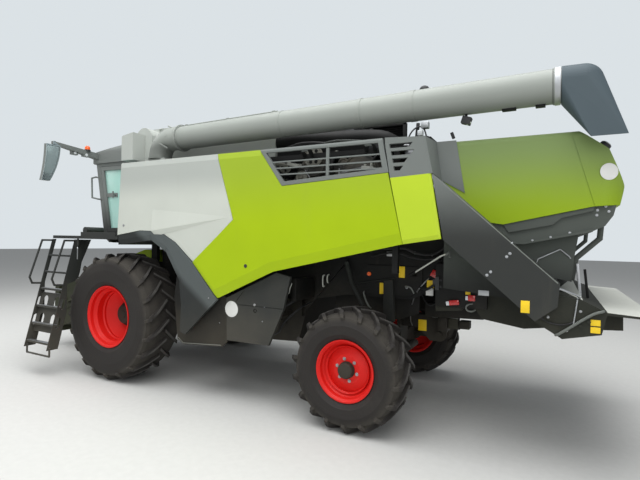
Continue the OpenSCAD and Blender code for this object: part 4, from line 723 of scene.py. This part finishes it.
# %% Blank labels
label_table = [
    # name, x, z, width, height, finish, number of sides, look from
    ("label_guard", -5.344, 1.483, 0.07, 0.105, "yellow_label", 2, OUTSIDE),
    ("label_body_a", -3.766, 1.471, 0.07, 0.13, "yellow_label", 2, DRIVES),
    ("label_body_b", -4.0, 1.675, 0.07, 0.13, "yellow_label", 2, DRIVES),
    ("label_spreader_a", -5.867, 1.385, 0.07, 0.05, "yellow_label", 2, OUTSIDE),
    ("label_spreader_b", -5.867, 1.325, 0.07, 0.05, "yellow_label", 2, OUTSIDE),
    ("label_hitch", -4.09, 0.975, 0.105, 0.14, "yellow_label", 1, 0.4),
    ("plate_type", -3.862, 1.881, 0.11, 0.055, "steel", 1, DRIVES),
    ("plate_base", -4.951, 1.537, 0.1, 0.05, "galvanised", 2, INNER),
]
for name, x, z, width, height, finish, sides, start in label_table:
    for side, word in LEFT_AND_RIGHT[:sides]:
        place, normal = surface(x, z, side, start)
        along = (Vector((1, 0, 0)) - normal * normal.x).normalized()
        stand = Matrix((along, normal.cross(along), normal)).transposed().to_4x4()
        bm = bmesh.new()
        block(bm, (-width / 2, -height / 2, -0.002), (width / 2, height / 2, 0.003), 0.0012,
              Matrix.Translation(place) @ stand)
        settle(name + "_" + word, bm, finish)
print("labels:", len(label_table))

# %% [markdown]
# Round discs, reflectors, latches and locks are turned shapes. The disc on the hood's rear corner
# is set where the photographer sees it: the look starts at the eye and not square to the machine.

# %% Discs, latches and the hood's lamp
disc_table = [
    # name, x, z, radius, finish, body, depth, look from
    ("disc_toolbox", -2.08, 1.166, 0.098, "white_label", "machine", 0.003, OUTSIDE),
    ("reflector", -3.596, 1.634, 0.026, "lamp", "machine", 0.012, DRIVES),
    ("latch_panel", -2.355, 1.708, 0.022, "plastic", "side_panel", 0.006, OUTSIDE),
    ("latch_light", -0.231, 2.185, 0.018, "steel", "side_panel", 0.005, OUTSIDE),
    ("lock_toolbox", -2.423, 1.244, 0.016, "steel", "machine", 0.006, OUTSIDE),
]
for side, word in LEFT_AND_RIGHT:
    for name, x, z, radius, finish, body, depth, start in disc_table:
        rides = body + "_" + word if body == "side_panel" else body
        disc(name + "_" + word, *surface(x, z, side, start), radius, finish, depth, rides)
    watcher = Vector((eye.x, eye.y * side, eye.z))
    corner, slope, _, _ = SURFACES.ray_cast(watcher, at(-5.965, side * 1.2, 2.66) - watcher)
    disc("disc_hood_" + word, corner, slope, 0.072, "white_label")
corner, slope, _, _ = SURFACES.find_nearest(at(-5.955, 1.2, 2.915))
disc("hood_lamp_case", corner, slope, 0.046, "plastic", 0.03)
disc("hood_lamp_glass", corner + slope * 0.03, slope, 0.036, "clear_lens", 0.008)
dome = [(0.0, -0.004), (0.05, -0.004), (0.05, 0.006), (0.038, 0.026), (0.02, 0.036), (0.0, 0.038)]
set_turned("tube_cap", "plastic", dome, top_of(-4.378, 1.3), UPWARD, 28, "auger")
print("discs:", len(disc_table))

# %% [markdown]
# Bolt heads show where sheets are held: on the diagonal guards, along the hood's dark lower rim, on
# the spreader, the toolbox and the body. They are small, but the light catches them, and without
# them a sheet looks like card.

# %% Bolts on the sheets
bolt_table = [
    # name, look from, size, finish, [places in x and z]
    ("guard", OUTSIDE, 0.009, "galvanised", [(-5.216, 1.938), (-5.19, 1.909), (-5.06, 1.77),
        (-5.029, 1.739)]),
    ("hood_rim", OUTSIDE, 0.007, "galvanised", [(-5.38, 2.059), (-5.527, 2.091), (-5.23, 2.03)]),
    ("hood_end", OUTSIDE, 0.008, "galvanised", [(-5.677, 2.129), (-5.883, 2.327), (-5.879, 2.284),
        (-5.943, 2.36), (-5.966, 2.315)]),
    ("spreader", OUTSIDE, 0.008, "steel", [(-5.52, 1.4), (-5.66, 1.3), (-5.76, 1.47), (-5.96, 1.44)]),
    ("body", DRIVES, 0.011, "steel", [(-4.339, 1.885), (-4.146, 1.901), (-4.32, 1.42), (-4.06, 1.5),
        (-3.9, 1.88)]),
    ("base", INNER, 0.013, "steel", [(-5.655, 1.693), (-5.64, 1.56), (-5.3, 1.62)]),
    ("toolbox", OUTSIDE, 0.006, "steel", [(-2.56, 1.23), (-2.54, 1.06), (-1.8, 1.29), (-1.9, 0.98)]),
]
for name, start, size, finish, spots in bolt_table:
    for side, word in LEFT_AND_RIGHT:
        bm = bmesh.new()
        for x, z in spots:
            place, normal = surface(x, z, side, start)
            if place:
                bolts(bm, [place], normal, size)
            else:
                print("no surface at", name, x, z)
        settle("bolts_" + name + "_" + word, bm, finish)
print("bolt rows:", len(bolt_table))

# %% [markdown]
# A few sheets close the gaps that a passer-by would see through: the dark skirt between the front
# tyre and the toolbox, the black sheet of painted shade over the rear axle, and its posts. A thin pale rod
# paints the highlight on the long guard's edge.

# %% Skirts and folded edges
skirt_table = [
    # name, finish, y of the inner face, thickness, corners in x and z
    ("front_skirt", "frame_black", 1.395, 0.025, [(-1.18, 1.7), (-1.12, 1.25), (-1.19, 0.7), (-1.3, 0.64),
        (-1.95, 0.69), (-2.02, 0.76), (-2.0, 1.3), (-1.5, 1.64)]),
    ("skirt_fold", "dark_zinc", 1.42, 0.006, [(-1.2, 0.72), (-1.3, 0.652), (-1.93, 0.7), (-1.93, 0.712),
        (-1.3, 0.664), (-1.21, 0.726)]),
    # a black sheet that paints the shade under the body over the rear axle
    ("axle_painted_shade", "frame_black", 0.48, 0.02, [(-3.05, 1.5), (-4.15, 1.6), (-4.15, 1.18), (-3.9, 1.08),
        (-3.25, 1.08), (-3.05, 1.2)]),
    ("body_ledge", "shaded_base", 0.728, 0.03, [(-3.454, 1.505), (-3.92, 1.595), (-3.92, 1.61),
        (-3.454, 1.522)]),
    ("axle_post", "shaded_base", 0.728, 0.06, [(-3.796, 1.57), (-3.91, 1.59), (-3.93, 1.1), (-3.8, 1.1)]),
]
# the guard's rolled edge as a pale rod: a real edge with a painted highlight
guard_edge_highlight = [(-4.53, 1.511, 2.664), (-5.07, 1.511, 2.172), (-5.59, 1.511, 1.697)]
for name, finish, y, thick, outline in skirt_table:
    for side, word in LEFT_AND_RIGHT:
        bm = bmesh.new()
        corners = [at(x, side * y, z) for x, z in outline]
        sheet(bm, corners, Vector((0, side * thick, 0)), min(0.008, thick / 3))
        settle(name + "_" + word, bm, finish)
for side, word in LEFT_AND_RIGHT:
    set_pipe("guard_edge_" + word, "tube_grey", 0.005, guard_edge_highlight, 8, 2, side=side)
print("skirts:", len(skirt_table))

# %% [markdown]
# A long crease runs over the pale side panel: the sheet rises towards it and falls back below it, so
# one narrow wedge catches less light. It is the hull of a few points that lie on the panel and one
# that stands off it.

# %% Crease in the pale panel
CREASE_HEIGHT = 0.026
corners = ((-2.11, 2.285), (-0.965, 2.064), (-0.8, 2.4), (-0.8, 2.112), (-0.83, 2.068))
ridge_end = (-0.8, 2.112)
for side, word in LEFT_AND_RIGHT:
    bm = bmesh.new()
    for x, z in corners:
        bm.verts.new(surface(x, z, side)[0])
    bm.verts.new(surface(*ridge_end, side)[0] + Vector((0, CREASE_HEIGHT * side, 0)))
    bmesh.ops.convex_hull(bm, input=bm.verts)
    settle("crease_" + word, bm, "light_grey", "side_panel_" + word, 2.0)
print("creases made")

# %% [markdown]
# Some pieces are only a skin on what the construction already has: the glass in a mirror, bare treads
# on the ladder, a bright zinc sheet on a dark box. The faces that look one way inside a box are taken from
# the node's own mesh, lifted a little and thickened, so the skin fits to the last corner.

# %% Skins on construction faces
SKIN = 0.002  # thickness
LOOKS_ALONG = 0.97  # cosine of the largest angle between a face's normal and the direction


def skin(name, node, low, high, normal, finish, lift=0.0015, body="machine"):
    """A thin plate on the faces of a node that look along a direction inside a box."""
    bm = bmesh.new()
    bm.from_mesh(nodes[node].data)
    bmesh.ops.remove_doubles(bm, verts=bm.verts, dist=1e-5)
    normal = Vector(normal)
    lost = [f for f in bm.faces if f.normal.dot(normal) < LOOKS_ALONG
            or not all(low[i] <= f.calc_center_median()[i] <= high[i] for i in range(3))]
    bmesh.ops.delete(bm, geom=lost, context="FACES")
    bmesh.ops.dissolve_limit(bm, angle_limit=0.01, verts=bm.verts, edges=bm.edges)
    bmesh.ops.translate(bm, vec=normal * lift, verts=bm.verts)
    grown = bmesh.ops.extrude_face_region(bm, geom=list(bm.faces), use_keep_orig=True)
    moved = [item for item in grown["geom"] if isinstance(item, bmesh.types.BMVert)]
    bmesh.ops.translate(bm, vec=normal * SKIN, verts=moved)
    made = settle(name, bm, finish, body)
    print(name, len(made.data.polygons), "faces")


for side, word in LEFT_AND_RIGHT:
    inner, outer = sorted((1.5 * side, 2.0 * side))
    skin("mirror_glass_" + word, "mirrors", at(1.0, inner, 2.7), at(1.03, outer, 3.5), BACKWARD,
         "mirror", 0.001)
skin("spreader_sheet", "straw_chopper", at(-6.31, -1.46, 1.42), at(-5.7, 1.46, 1.75), UPWARD, "pale_sheet")
skin("ladder_treads", "ladder", at(0.78, 1.3, 0.4), at(1.4, 1.98, 1.75), UPWARD, "steel", body="ladder")

# %% [markdown]
# The lamps come from the construction as one node, but they are made of several stuffs: orange
# glass on the beacon, clear glass under the visor, black boxes with red lenses at the back. The node
# is replaced by merged copies of its own shapes, one for each finish.

# %% Lamps
def part_of(name, keep, finish):
    """A merged copy of those shapes of the lamps whose middle passes a test."""
    bm = bmesh.new()
    bm.from_mesh(nodes["lamps"].data)
    bmesh.ops.remove_doubles(bm, verts=bm.verts, dist=1e-5)
    lost = []
    waiting = set(bm.verts)
    while waiting:
        island, front = set(), [waiting.pop()]
        while front:
            vert = front.pop()
            island.add(vert)
            for edge in vert.link_edges:
                other = edge.other_vert(vert)
                if other in waiting:
                    waiting.remove(other)
                    front.append(other)
        middle = sum((v.co for v in island), Vector()) / len(island)
        if not keep(middle):
            lost += list(island)
    bmesh.ops.delete(bm, geom=lost, context="VERTS")
    made = settle(name, bm, finish)
    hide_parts("lamps")


beacon = at(0.7, 0.5, 0)
part_of("beacon_lens", lambda m: math.hypot(m.x - beacon.x, m.y - beacon.y) < 0.2, "lamp")
part_of("visor_lenses", lambda m: m.x > at(1.2, 0, 0).x, "clear_lens")
part_of("tail_lamps", lambda m: m.x < at(-4.0, 0, 0).x, "plastic")
print("lamps split into their stuffs")

# %% [markdown]
# A second, small beacon stands on the arm at the cab's left front corner. The rims of the work lamps
# and the lenses at the front and back are turned shapes as well.

# %% Corner beacon, lamp rims and lenses
roof = top_of(1.104, 1.17)
plinth = [(0.0, -0.004), (0.048, -0.004), (0.048, 0.012), (0.042, 0.016), (0.0, 0.016)]
bulb = [(0.0, 0.016), (0.041, 0.016), (0.04, 0.05), (0.032, 0.068), (0.016, 0.078), (0.0, 0.08)]
set_turned("corner_beacon_foot", "plastic", plinth, roof, UPWARD)
set_turned("corner_beacon", "lamp", bulb, roof, UPWARD)
bm = bmesh.new()
for y in (-0.6, -0.3, 0.3, 0.6):
    turn(bm, [(0.0, -0.002), (0.07, -0.002), (0.078, 0.004), (0.066, 0.008), (0.0, 0.006)],
         facing(at(1.33, y, 3.232), (0, 0, -1)), 28)
settle("visor_lamp_rims", bm, "steel")
for side, word in LEFT_AND_RIGHT:
    for z, finish in ((1.555, "lamp"), (1.625, "red_lens")):
        place = at(-4.5035, side * 0.915, z)
        disc("tail_lens_%d_%s" % (z * 1000, word), place, BACKWARD, 0.029, finish, 0.008)
    for y in (1.2, 1.39):
        place = at(1.0785, side * y, 3.322)
        disc("work_lens_%d_%s" % (y * 1000, word), place, BACKWARD, 0.022, "clear_lens", 0.006)
print("beacon stands at", [round(v, 3) for v in roof])

# %% [markdown]
# Hoses, cables, rods and stays fill the hollow between the rear wheel and the hood. Each one is a
# route of a few points with a round section swept along it; the table gives the route in metres
# from the front axle.

# %% Hoses, cables and rods
route_table = [
    # name, radius, finish, smooth, number of sides, route
    ("hose_upper", 0.013, "hose", True, 2, [(-3.6, 0.71, 1.9), (-3.75, 0.78, 1.935), (-3.945, 0.8, 1.942),
        (-4.055, 0.8, 1.95), (-4.17, 0.8, 1.903), (-4.36, 0.8, 1.888), (-4.51, 0.82, 1.977),
        (-4.62, 0.84, 2.12)]),
    ("hose_lower", 0.011, "hose", True, 2, [(-3.62, 0.71, 1.84), (-3.8, 0.77, 1.885), (-3.98, 0.78, 1.895),
        (-4.12, 0.78, 1.85), (-4.34, 0.78, 1.838), (-4.54, 0.8, 1.93), (-4.66, 0.82, 2.12)]),
    ("hose_back", 0.015, "hose", True, 2, [(-4.4, 0.71, 1.9), (-4.46, 0.8, 1.78), (-4.43, 0.84, 1.6),
        (-4.3, 0.8, 1.5), (-4.2, 0.71, 1.52)]),
    ("brake_cable", 0.007, "steel", True, 1, [(-4.31, 0.705, 1.62), (-4.26, 0.74, 1.56),
        (-4.19, 0.72, 1.477), (-4.09, 0.56, 1.33), (-4.02, 0.4, 1.2), (-3.975, 0.25, 1.05),
        (-3.96, 0.118, 0.96)]),
    ("light_cable", 0.006, "hose", True, 2, [(-4.23, 0.705, 1.44), (-4.29, 0.79, 1.37), (-4.36, 0.84, 1.33),
        (-4.44, 0.88, 1.38), (-4.47, 0.9, 1.53)]),
    ("gas_strut_rod", 0.009, "pale_sheet", False, 1, [(-4.192, 0.9, 1.684), (-4.528, 1.1, 1.886),
        (-4.628, 1.2, 1.924)]),
    ("gas_strut_end", 0.014, "dark_zinc", False, 1, [(-4.6, 1.19, 1.905), (-4.64, 1.215, 1.935),
        (-4.64, 1.235, 1.88)]),
    ("gas_strut_foot", 0.016, "frame_black", False, 1, [(-4.16, 0.7, 1.64), (-4.15, 0.9, 1.66),
        (-4.21, 0.91, 1.695)]),
    ("hood_wire", 0.006, "galvanised", False, 2, [(-5.408, 1.118, 1.815), (-5.408, 1.13, 1.832),
        (-5.426, 1.13, 1.888), (-5.606, 1.13, 1.982), (-5.678, 1.13, 1.919), (-5.69, 1.118, 1.9)]),
    ("body_strut", 0.026, "shaded_base", False, 2, [(-3.3, 0.74, 1.76), (-3.427, 0.85, 1.524),
        (-3.57, 0.86, 1.27)]),
    ("small_hose_a", 0.009, "pale_sheet", True, 2, [(-3.0, 0.74, 1.59), (-3.01, 0.8, 1.575),
        (-3.012, 0.8, 1.46), (-3.0, 0.74, 1.45)]),
    ("small_hose_b", 0.008, "pale_sheet", True, 2, [(-3.065, 0.74, 1.6), (-3.072, 0.8, 1.585),
        (-3.074, 0.8, 1.51), (-3.06, 0.74, 1.5)]),
    ("small_hose_c", 0.01, "dark_zinc", True, 2, [(-3.54, 0.74, 1.42), (-3.56, 0.8, 1.405),
        (-3.59, 0.81, 1.33), (-3.625, 0.8, 1.26), (-3.63, 0.74, 1.23)]),
    ("side_hose_a", 0.014, "hose", True, 2, [(-2.46, 1.1, 1.08), (-2.58, 1.16, 1.16), (-2.72, 1.14, 1.24),
        (-2.82, 1.0, 1.33), (-2.84, 0.8, 1.38)]),
    ("side_hose_b", 0.012, "hose", True, 2, [(-2.48, 1.1, 0.84), (-2.6, 1.15, 0.9), (-2.66, 1.12, 1.02),
        (-2.8, 1.02, 1.18), (-2.84, 0.8, 1.24)]),
    ("side_hose_c", 0.006, "pale_sheet", True, 2, [(-2.79, 1.16, 1.52), (-2.8, 1.2, 1.5),
        (-2.775, 1.2, 1.44), (-2.76, 1.19, 1.39), (-2.7, 1.18, 1.36)]),
    ("guard_stay", 0.009, "galvanised", False, 2, [(-5.54, 1.49, 1.672), (-5.6, 1.47, 1.652),
        (-5.733, 1.4, 1.597), (-5.76, 1.38, 1.575)]),
    ("spreader_tube", 0.012, "dark_zinc", True, 2, [(-5.925, 1.43, 1.484), (-5.905, 1.453, 1.48),
        (-5.86, 1.453, 1.462), (-5.791, 1.453, 1.415), (-5.696, 1.453, 1.34), (-5.6, 1.453, 1.266),
        (-5.578, 1.43, 1.252)]),
    ("spreader_rod", 0.006, "galvanised", False, 2, [(-5.737, 1.4, 1.572), (-5.735, 1.448, 1.56),
        (-5.707, 1.45, 1.342), (-5.705, 1.432, 1.33)]),
    ("spreader_cable", 0.006, "hose", True, 1, [(-5.42, 1.495, 1.435), (-5.47, 1.48, 1.395),
        (-5.52, 1.45, 1.36), (-5.61, 1.448, 1.345), (-5.695, 1.448, 1.368), (-5.72, 1.432, 1.39)]),
    ("hitch_handle", 0.013, "dark_zinc", False, 1, [(-4.2, 0.1, 1.1), (-4.25, 0.15, 1.1),
        (-4.5, 0.15, 1.122), (-4.52, 0.15, 1.09)]),
    ("chopper_loop", 0.009, "dark_zinc", True, 1, [(-4.82, 0.94, 1.4), (-4.79, 0.975, 1.395),
        (-4.765, 0.98, 1.37), (-4.775, 0.98, 1.335), (-4.82, 0.975, 1.325), (-4.85, 0.94, 1.34)]),
    ("sensor_wire", 0.005, "pale_sheet", True, 1, [(-4.62, 0.945, 1.56), (-4.6, 0.965, 1.63),
        (-4.64, 0.97, 1.69), (-4.71, 0.97, 1.7), (-4.76, 0.965, 1.64), (-4.83, 0.945, 1.56)]),
    ("clamp_ring", 0.008, "dark_zinc", True, 1, [(-4.06, 0.72, 1.5), (-4.1, 0.9, 1.53), (-4.17, 0.94, 1.52),
        (-4.2, 0.92, 1.46)]),
]
for name, radius, finish, smooth, sides, route in route_table:
    for side, word in LEFT_AND_RIGHT[:sides]:
        set_pipe(name + "_" + word, finish, radius, route, smooth=smooth, side=side)
print("routes:", len(route_table))

# %% [markdown]
# The rear bay holds lamps and small brackets. Red lenses with a white end sit on the chopper's side,
# zinc straps carry the spreader, and a lamp hangs below the unloading tube. Dark cases close the bay
# behind the hoses, and a few more blocks make up the tow hitch.

# %% Lamps and brackets at the rear
block_table = [
    # name, finish, number of sides, low corner, high corner, degrees about a cross axis
    ("side_tag", "white_label", 2, (-2.7, 1.18, 1.4), (-2.682, 1.2, 1.5), 0.0),
    ("hose_bracket", "frame_black", 2, (-2.86, 0.74, 1.3), (-2.8, 1.2, 1.56), 0.0),
    ("hood_hook", "plastic", 1, (-4.66, 1.19, 3.06), (-4.63, 1.215, 3.125), 20.0),
    ("drive_case", "frame_black", 2, (-4.96, 0.72, 1.35), (-4.44, 0.945, 1.8), 0.0),
    ("drive_belt_case", "chopper_dark", 2, (-4.7, 0.72, 1.3), (-4.43, 0.9, 1.42), 6.0),
    ("red_lens_low", "red_lens", 2, (-4.69, 0.94, 1.375), (-4.59, 0.975, 1.425), 8.0),
    ("red_lens_low_end", "clear_lens", 2, (-4.59, 0.94, 1.366), (-4.56, 0.975, 1.408), 8.0),
    ("red_lens_high", "red_lens", 2, (-4.85, 0.94, 1.43), (-4.78, 0.975, 1.49), 0.0),
    ("red_lens_high_end", "clear_lens", 2, (-4.78, 0.94, 1.436), (-4.755, 0.975, 1.48), 0.0),
    ("label_chopper", "yellow_label", 2, (-4.8, 0.94, 1.49), (-4.75, 0.95, 1.548), 0.0),
    ("label_rear_a", "yellow_label", 2, (-4.378, 0.74, 1.52), (-4.3, 0.76, 1.6), 0.0),
    ("label_rear_b", "white_label", 2, (-4.372, 0.74, 1.43), (-4.29, 0.757, 1.512), 0.0),
    ("red_cap", "red_lens", 1, (-4.43, 0.7, 1.635), (-4.35, 0.78, 1.712), -30.0),
    ("zinc_strap", "galvanised", 2, (-5.77, 1.095, 1.55), (-5.748, 1.103, 1.856), 5.0),
    ("dark_strap", "frame_black", 2, (-5.838, 0.89, 1.53), (-5.815, 0.9, 1.8), 6.0),
    ("hitch_beam", "dark_zinc", 1, (-4.56, 0.18, 1.13), (-4.24, 0.3, 1.165), -3.0),
    ("hitch_case", "chopper_dark", 1, (-4.56, 0.16, 1.0), (-4.45, 0.3, 1.12), 0.0),
    ("hitch_plate", "frame_black", 1, (-4.44, 0.14, 0.96), (-4.33, 0.32, 1.13), 0.0),
    ("hitch_pin_box", "frame_black", 1, (-4.69, 0.16, 1.01), (-4.575, 0.3, 1.1), 0.0),
    ("hitch_arm", "frame_black", 1, (-4.86, 0.2, 1.15), (-4.2, 0.42, 1.31), 2.0),
]
tube_blocks = [
    # name, finish, low corner, high corner, degrees about a cross axis
    ("lamp", "plastic", (-4.835, 1.262, 3.165), (-4.75, 1.338, 3.235), -18.0),
    ("lamp_foot", "frame_black", (-4.8, 1.29, 3.225), (-4.775, 1.31, 3.275), 0.0),
    ("clip_a", "frame_black", (-5.23, 1.27, 3.25), (-5.11, 1.33, 3.272), 0.0),
    ("clip_b", "frame_black", (-5.47, 1.27, 3.25), (-5.39, 1.33, 3.272), 0.0),
]
for name, finish, sides, low, high, degrees in block_table:
    for side, word in LEFT_AND_RIGHT[:sides]:
        set_block(name + "_" + word, finish, low, high, 0.003, degrees, side)
for name, finish, low, high, degrees in tube_blocks:
    set_block("tube_" + name + "_left", finish, low, high, 0.003, degrees, body="auger")
disc("tube_lamp_glass", at(-4.815, 1.3, 3.172), (-0.5, 0, -0.86), 0.026, "clear_lens", 0.006, "auger")
print("blocks:", len(block_table) + len(tube_blocks))

# %% [markdown]
# The clamp that holds the spout is a bright band with a dark gap before it. Both are short rings
# turned about the tube's own line, which climbs a little towards its end. A circle of bolts holds
# the flange at the tube's other end.

# %% Clamp of the spout and flange bolts
foot, tip = at(-1.09, 1.3, 3.37), at(-5.59, 1.3, 3.421)
line = (tip - foot).normalized()
FLANGE_OVER_TUBE = 0.026
tube_low, tube_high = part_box("unloading_tube")
radius = (tube_high.y - tube_low.y) / 2 - FLANGE_OVER_TUBE
band_table = [
    # name, finish, from, to (metres before the tube's end), outer radius over the tube's
    ("spout_band", "galvanised", 0.05, 0.004, 0.013),
    ("spout_gap", "hose", 0.066, 0.05, 0.004),
    ("middle_band", "tube_grey", 1.9, 1.86, 0.005),
]
for name, finish, start, end, proud in band_table:
    inside, outside, wide, corner = radius - 0.001, radius + proud, start - end, 0.002
    ring = [(inside, 0.0), (outside - corner, 0.0), (outside, corner), (outside, wide - corner),
            (outside - corner, wide), (inside, wide), (inside, 0.0)]
    set_turned(name, finish, ring, tip - line * start, line, 64, "auger")
bm = bmesh.new()
face = foot - Vector((0.012, 0, 0))
for angle in (2 * math.pi * (i + 0.5) / 16 for i in range(16)):
    arm = Vector((0, math.cos(angle), math.sin(angle)))
    bolts(bm, [face + arm * (radius + 0.012)], BACKWARD, 0.009)
settle("flange_bolts", bm, "galvanised", "auger")
print("tube radius", round(radius, 3))

# %% [markdown]
# Behind the grille the engine's side shows: dusty belt pulleys with lightening holes, each a turned
# rim and web with a hub, and small black discs on the web that paint the shade seen through the holes.

# %% Pulleys behind the grille
pulley_table = [
    # x, z, radius, y of the face, holes
    (-3.085, 2.99, 0.125, 1.245, 6),
    (-2.7, 2.9, 0.085, 1.23, 4),
    (-2.93, 2.76, 0.075, 1.235, 0),
    (-3.377, 3.02, 0.018, 1.24, 0),
]
for number, (x, z, reach, y, holes) in enumerate(pulley_table):
    middle, outward = at(x, y, z), (0, 1, 0)
    bm = bmesh.new()
    turn(bm, [(reach - 0.012, -0.012), (reach, -0.004), (reach, 0.004), (reach - 0.008, 0.006),
              (reach - 0.018, -0.002), (reach - 0.018, -0.012), (reach - 0.012, -0.012)],
         facing(middle, outward), 48)
    turn(bm, [(0.0, -0.016), (reach - 0.016, -0.016), (reach - 0.016, -0.006), (reach * 0.3, -0.002),
              (reach * 0.22, 0.01), (reach * 0.17, 0.016), (0.0, 0.016)], facing(middle, outward), 40)
    settle("pulley_rim_%d" % number, bm, "bay_metal")
    if holes:
        # black discs: painted shade in the lightening holes
        bm = bmesh.new()
        for angle in (2 * math.pi * i / holes for i in range(holes)):
            arm = Vector((math.cos(angle), 0, math.sin(angle))) * (reach * 0.56)
            turn(bm, [(0.0, -0.006), (reach * 0.17, -0.006), (reach * 0.17, 0.0), (0.0, 0.0)],
                 facing(middle + arm, outward), 20)
        settle("pulley_holes_painted_shade_%d" % number, bm, "frame_black")
print("pulleys:", len(pulley_table))

# %% [markdown]
# Between the pulleys sit a bright valve block with its two rods, pale castings, boxes and hoses. They
# are blocks and pipes from two tables, near enough to the grille to catch the light.

# %% Valves, castings and hoses in the engine bay
bay_table = [
    # name, finish, low, high, turn about y
    ("valve_block", "pale_sheet", (-3.83, 1.19, 2.795), (-3.69, 1.265, 2.835), -8.0),
    ("valve_head_a", "pale_sheet", (-3.81, 1.2, 2.835), (-3.785, 1.25, 2.87), -8.0),
    ("valve_head_b", "pale_sheet", (-3.735, 1.2, 2.833), (-3.712, 1.25, 2.862), -8.0),
    ("casting_a", "pale_sheet", (-2.89, 1.1, 2.895), (-2.74, 1.265, 2.93), -12.0),
    ("casting_b", "bay_metal", (-2.74, 1.08, 2.905), (-2.56, 1.245, 2.945), -12.0),
    ("filter_box", "plastic", (-2.7, 0.9, 2.8), (-2.52, 1.15, 3.02), -6.0),
    ("control_box", "plastic", (-3.88, 1.05, 3.0), (-3.74, 1.18, 3.11), -6.0),
]
for name, finish, low, high, degrees in bay_table:
    set_block(name, finish, low, high, 0.006, degrees)
bay_routes = [
    # name, radius, finish, smooth, route
    ("valve_rod_a", 0.006, "galvanised", False, [(-3.7, 1.255, 2.812), (-3.43, 1.255, 2.775),
        (-3.42, 1.21, 2.772)]),
    ("valve_rod_b", 0.006, "galvanised", False, [(-3.7, 1.23, 2.832), (-3.45, 1.23, 2.797),
        (-3.44, 1.19, 2.795)]),
    ("valve_lever", 0.006, "galvanised", False, [(-3.42, 1.255, 2.765), (-3.425, 1.255, 2.83)]),
    ("bay_wire", 0.005, "galvanised", False, [(-2.99, 1.21, 2.842), (-2.993, 1.26, 2.834),
        (-3.055, 1.26, 2.738), (-3.06, 1.21, 2.73)]),
    ("bay_hose_a", 0.022, "hose", True, [(-2.56, 1.0, 2.98), (-2.64, 1.12, 3.02), (-2.78, 1.14, 3.01),
        (-2.88, 1.06, 3.04)]),
    ("bay_hose_b", 0.018, "hose", True, [(-2.6, 0.96, 2.82), (-2.68, 1.13, 2.76), (-2.78, 1.13, 2.72),
        (-2.84, 1.0, 2.69)]),
    ("bay_hose_c", 0.026, "hose", True, [(-3.24, 1.0, 2.74), (-3.28, 1.15, 2.86), (-3.3, 1.16, 2.98),
        (-3.33, 1.06, 3.07)]),
    ("bay_hose_d", 0.014, "hose", True, [(-3.86, 1.1, 3.01), (-3.82, 1.19, 2.94), (-3.79, 1.18, 2.88)]),
    ("bay_hose_e", 0.014, "hose", True, [(-2.52, 1.0, 2.7), (-2.62, 1.15, 2.66), (-2.9, 1.16, 2.67),
        (-3.2, 1.06, 2.68)]),
]
for name, radius, finish, smooth, route in bay_routes:
    set_pipe(name, finish, radius, route, 12, 6, smooth)
print("engine bay:", len(bay_table) + len(bay_routes))

# %% [markdown]
# Over the grille, in the tube's shadow, the deck carries a louvred screen, two air ducts, hoses and a
# post with lamps. The screen's slats are one thin block each, leaning by the same angle.

# %% Engine deck behind the tube
SLAT_LEAN = 32
bm = bmesh.new()
for place in (-3.99, -3.58, -3.17):
    block(bm, at(place - 0.02, 0.64, 3.05), at(place + 0.02, 0.7, 3.42), 0.006)
block(bm, at(-4.01, 0.64, 3.39), at(-3.15, 0.7, 3.42), 0.006)
for i in range(13):
    slat = at(-3.58, 0.67, 3.085 + i * 0.025)
    half = Vector((0.42, 0.017, 0.0015))
    block(bm, slat - half, slat + half, 0.001, turned_about(slat, SLAT_LEAN, "X"))
settle("deck_screen", bm, "frame_black")
deck_table = [
    # name, finish, radius, route on the deck behind the tube
    ("air_duct", "frame_black", 0.115, [(-2.3, 0.96, 3.24), (-2.7, 0.96, 3.25), (-3.25, 0.9, 3.23),
        (-3.75, 0.86, 3.2), (-3.88, 0.7, 3.15)]),
    ("air_duct_upper", "plastic", 0.08, [(-2.32, 0.88, 3.36), (-2.9, 0.88, 3.37), (-3.3, 0.84, 3.33),
        (-3.42, 0.7, 3.25)]),
    ("deck_hose_a", "hose", 0.024, [(-2.6, 1.08, 3.14), (-2.85, 1.09, 3.185), (-3.25, 1.06, 3.15),
        (-3.5, 0.98, 3.11)]),
    ("deck_hose_b", "dark_zinc", 0.013, [(-3.0, 1.08, 3.15), (-3.3, 1.08, 3.185), (-3.7, 1.03, 3.15),
        (-3.95, 0.9, 3.12)]),
    ("deck_post", "plastic", 0.022, [(-4.02, 0.3, 3.06), (-4.02, 0.3, 3.25), (-4.04, 0.3, 3.5)]),
    ("deck_rail", "frame_black", 0.014, [(-4.02, 0.32, 3.3), (-4.12, 0.32, 3.32), (-4.2, 0.31, 3.29),
        (-4.22, 0.3, 3.06)]),
    ("deck_cable", "hose", 0.009, [(-3.9, 0.36, 3.06), (-3.93, 0.35, 3.3), (-4.0, 0.34, 3.42),
        (-4.1, 0.33, 3.44), (-4.16, 0.32, 3.3)]),
]
for name, finish, radius, route in deck_table:
    set_pipe(name, finish, radius, route, 20)
deck_blocks = [
    # name, finish, low, high
    ("deck_lamp_low", "clear_lens", (-4.11, 0.29, 3.33), (-4.05, 0.37, 3.4)),
    ("deck_lamp_high", "galvanised", (-4.18, 0.28, 3.42), (-4.09, 0.36, 3.5)),
    ("deck_box", "plastic", (-4.0, 0.26, 3.12), (-3.88, 0.38, 3.23)),
    ("louvre_casting", "galvanised", (-4.275, 1.26, 2.9), (-4.19, 1.32, 2.96)),
    ("louvre_clamp", "steel", (-4.24, 1.28, 2.99), (-4.18, 1.33, 3.02)),
]
for name, finish, low, high in deck_blocks:
    set_block(name, finish, low, high, 0.008)
print("deck:", 1 + len(deck_table) + len(deck_blocks))
